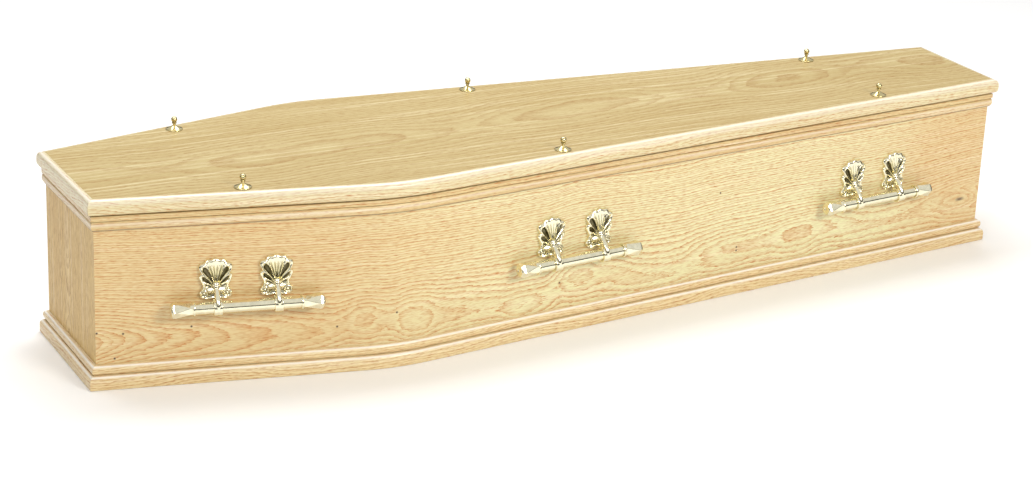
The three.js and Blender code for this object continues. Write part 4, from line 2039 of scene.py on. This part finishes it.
@dataclass(frozen=True)
class Handles:
    """The six handles: each a bar in two brackets, with a tip on each end."""

    plan: Plan
    bracket: Bracket = field(default_factory=Bracket)
    bar: Bar = field(default_factory=Bar)
    tip: Tip = field(default_factory=Tip)
    bracket_spacing: float = 106.0
    from_head: float = 254.0
    past_shoulder: float = 374.0
    from_foot: float = 295.0
    bar_height: float = 144.0

    def seated(self, skin: Skin, side: Side, end: End, x: float) -> Skin:
        """Carry a skin from a handle's own axes to its seat on a side.

        Args:
            skin: The skin, with X along the bar, Y out from the side and Z up from the bar's axis.
            side: The side that it sits on.
            end: The end whose stretch of the side it sits on.
            x: Where it sits along the box.

        Returns:
            The skin in the frame's axes.
        """
        stretch = self.plan.stretch(end)
        mirror = np.array([1, side.value])
        seat = stretch.at(np.array(0.0), np.array(x)) * mirror
        out = stretch.out * mirror
        along = np.array([out[1], -out[0]])
        flat = seat + skin.points[:, :1] * along + skin.points[:, 1:2] * out
        return skin.moved(np.column_stack([flat, skin.points[:, 2] + self.bar_height]))

    def build(self) -> None:
        """Make the six handles."""
        material = Brass("electro_brass_plate", "#faf4d6", "#463d18", 0.09, 7.0).material()
        casting = self.bracket.casting()
        rod = self.bar.rod()
        tip = self.tip.body()
        mouth = self.bar.length / 2 + SEAM - self.tip.socket_depth
        places = self.plan.places(self.from_head, self.past_shoulder, self.from_foot)
        for side in Side:
            for place, stretch, x in places:
                handle = f"handle_{label(side)}_{label(place)}"
                pieces = {"bar": rod}
                for end in End:
                    way = end.value * side.value
                    shift = np.array([way * self.bracket_spacing / 2, 0, 0])
                    pieces[f"bracket_{label(end)}"] = casting.moved(casting.points + shift)
                    flipped = (tip.points + np.array([mouth, 0, 0])) * np.array([way, 1, 1])
                    pieces[f"tip_{label(end)}"] = tip.moved(flipped)
                for name, skin in pieces.items():
                    seated = self.seated(skin, side, stretch, x)
                    stand_for(f"{handle}_{name}", seated, Slot.HANDLE, [material])


@dataclass(frozen=True)
class Camera:
    """The photograph's camera, as fitted to the box's edges. Lengths in metres, angles in radians.

    Attributes:
        focal: The focal length, in pixels of the photograph.
        place: Where the camera stands.
        yaw: How far it is turned from +Y towards +X.
        pitch: How far it looks down.
        roll: How far it is rolled, clockwise as seen from behind it.
        axis: The pixel that its axis passes through.
        sensor: The width of its sensor, in millimetres.
    """

    focal: float = 2419.8
    place: tuple[float, float, float] = (-2.1558, -3.7934, 1.7612)
    yaw: float = 0.49095
    pitch: float = 0.35158
    roll: float = 0.04005
    axis: tuple[float, float] = (489.01, 203.04)
    sensor: float = 36.0

    def build(self) -> None:
        """Make the camera and give it to the scene."""
        data = bpy.data.cameras.new("photo_camera")
        data.sensor_width = self.sensor
        data.lens = self.focal / PHOTO_WIDTH * self.sensor
        data.shift_x = (PHOTO_WIDTH / 2 - self.axis[0]) / PHOTO_WIDTH
        data.shift_y = (self.axis[1] - PHOTO_HEIGHT / 2) / PHOTO_WIDTH
        forward = np.array(
            [
                math.sin(self.yaw) * math.cos(self.pitch),
                math.cos(self.yaw) * math.cos(self.pitch),
                -math.sin(self.pitch),
            ]
        )
        level = np.array([math.cos(self.yaw), -math.sin(self.yaw), 0.0])
        upright = np.cross(level, forward)
        right = level * math.cos(self.roll) + upright * math.sin(self.roll)
        up = upright * math.cos(self.roll) - level * math.sin(self.roll)
        turn = Matrix(np.column_stack([right, up, -forward]).tolist()).to_4x4()
        camera = bpy.data.objects.new("photo_camera", data)
        camera.matrix_world = Matrix.Translation(self.place) @ turn
        bpy.context.scene.collection.objects.link(camera)
        bpy.context.scene.camera = camera


@dataclass(frozen=True)
class Softbox:
    """A soft light: a rectangle that faces a point.

    Attributes:
        name: Its name.
        place: Where it hangs, in metres.
        target: What it faces.
        size: Its width and height.
        power: Its power in watts.
        tint: Its colour.
    """

    name: str
    place: tuple[float, float, float]
    target: tuple[float, float, float]
    size: tuple[float, float]
    power: float
    tint: str = "#ffffff"

    def build(self) -> None:
        """Hang the light."""
        data = bpy.data.lights.new(self.name, "AREA")
        data.shape = "RECTANGLE"
        data.size, data.size_y = self.size
        data.energy = self.power
        data.color = linear(self.tint)[:3]
        lamp = bpy.data.objects.new(self.name, data)
        lamp.visible_camera = False
        back = np.subtract(self.place, self.target)
        z = back / np.linalg.norm(back)
        x = np.cross((0.0, 0.0, 1.0), z)
        x = x / np.linalg.norm(x) if np.linalg.norm(x) > 1e-6 else np.array([1.0, 0.0, 0.0])
        turn = Matrix(np.column_stack([x, np.cross(z, x), z]).tolist()).to_4x4()
        lamp.matrix_world = Matrix.Translation(self.place) @ turn
        bpy.context.scene.collection.objects.link(lamp)


@dataclass(frozen=True)
class Studio:
    """A pale studio: white paper underfoot, soft lights, and a room that darkens towards the horizon.

    Attributes:
        floor_size: How long and wide the paper is, in metres.
        floor_drop: How far it lies below the coffin's foot, in metres.
        zenith: The room's colour overhead.
        horizon: The room's colour at and below the horizon.
        backdrop: What the camera sees behind the coffin.
        room_light: How strongly the room lights what is matt.
        room_shine: How strongly it shows in reflections.
        dusk: The heights, of 1 overhead, between which the horizon's colour turns to the zenith's.
        softboxes: The lights.
    """

    floor_size: float = 90.0
    floor_drop: float = 0.0005
    zenith: str = "#ffffff"
    horizon: str = "#2b2717"
    backdrop: str = "#ffffff"
    room_light: float = 0.5
    room_shine: float = 0.8
    dusk: tuple[float, float] = (0.1, 0.4)
    softboxes: tuple[Softbox, ...] = (
        Softbox("front_softbox", (1.1, -4.2, 2.6), (0.1, 0.0, 0.15), (1.7, 0.9), 108.0, "#fffaf0"),
        Softbox("left_softbox", (-2.6, -2.6, 2.6), (-0.2, 0.0, 0.15), (0.9, 0.9), 26.0, "#fffdf8"),
        Softbox("top_softbox", (0.0, 1.2, 3.4), (0.0, 0.1, 0.0), (3.6, 1.6), 95.0, "#ffffff"),
    )

    def floor(self) -> None:
        """Lay the floor, just under the coffin."""
        half = self.floor_size / 2
        corners = np.array([(-half, -half), (half, -half), (half, half), (-half, half)])
        mesh = bpy.data.meshes.new("floor")
        points = np.column_stack([corners, np.full(len(corners), -self.floor_drop)])
        mesh.from_pydata(points.tolist(), [], [(0, 1, 2, 3)])
        mesh.materials.append(Paper().material())
        floor = bpy.data.objects.new("floor", mesh)
        bpy.context.scene.collection.objects.link(floor)
        floor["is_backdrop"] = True

    def room(self) -> None:
        """Light the room: white for the camera, and else from the horizon's colour to the zenith's."""
        world = bpy.data.worlds.new("studio")
        world.use_nodes = True
        world.node_tree.nodes.clear()
        graph = NodeGraph(world.node_tree)
        direction = graph.add("ShaderNodeTexCoord", output="Generated")
        height = graph.add("ShaderNodeSeparateXYZ", {0: direction}, output="Z")
        low, high = self.dusk
        share = graph.add(RANGE, {0: height, 1: low, 2: high}, interpolation_type="SMOOTHSTEP")
        inputs = {0: share, MIX_A: linear(self.horizon), MIX_B: linear(self.zenith)}
        sky = graph.add(MIX, inputs, MIX_RESULT, data_type="RGBA")
        seen = graph.add("ShaderNodeLightPath", output="Is Camera Ray")
        inputs = {0: seen, MIX_A: sky, MIX_B: linear(self.backdrop)}
        colour = graph.add(MIX, inputs, MIX_RESULT, data_type="RGBA")
        mirrored = graph.add("ShaderNodeLightPath", output="Is Glossy Ray")
        reach = {0: mirrored, 1: 0.0, 2: 1.0, 3: self.room_light, 4: self.room_shine}
        strength = graph.add(MATH, {0: graph.add(RANGE, reach), 1: seen}, operation="MAXIMUM")
        background = graph.add("ShaderNodeBackground", {"Color": colour, "Strength": strength})
        graph.add("ShaderNodeOutputWorld", {"Surface": background})
        bpy.context.scene.world = world

    def build(self) -> None:
        """Set up the whole studio, with colours shown as they are."""
        Camera().build()
        for softbox in self.softboxes:
            softbox.build()
        self.floor()
        self.room()
        view = bpy.context.scene.view_settings
        view.view_transform = "Standard"
        view.look = "None"


def main() -> None:
    """Build the studio and the coffin."""
    logging.basicConfig(level=logging.INFO, format="%(name)s: %(message)s", stream=sys.stdout)
    cad_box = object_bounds()
    Studio().build()
    plan = Plan()
    Boards(plan).build()
    for kind, section, finish, start in (
        ("lid_edge", LidEdgeProfile(), LID_EDGING, 1500.0),
        ("rim_moulding", RimProfile(), RIM_WOOD, 2700.0),
        ("base_moulding", BaseProfile(), BASE_WOOD, 4100.0),
    ):
        Moulding(plan, kind, section, finish, start).build()
    LidScrews(plan).build()
    Handles(plan).build()
    visual_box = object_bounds()
    boxes = {"cad": cad_box, "visual": visual_box}
    {name: [list(corner) for corner in box] for name, box in boxes.items()}
    log.info("the coffin is dressed")


if __name__ == "__main__":
    main()
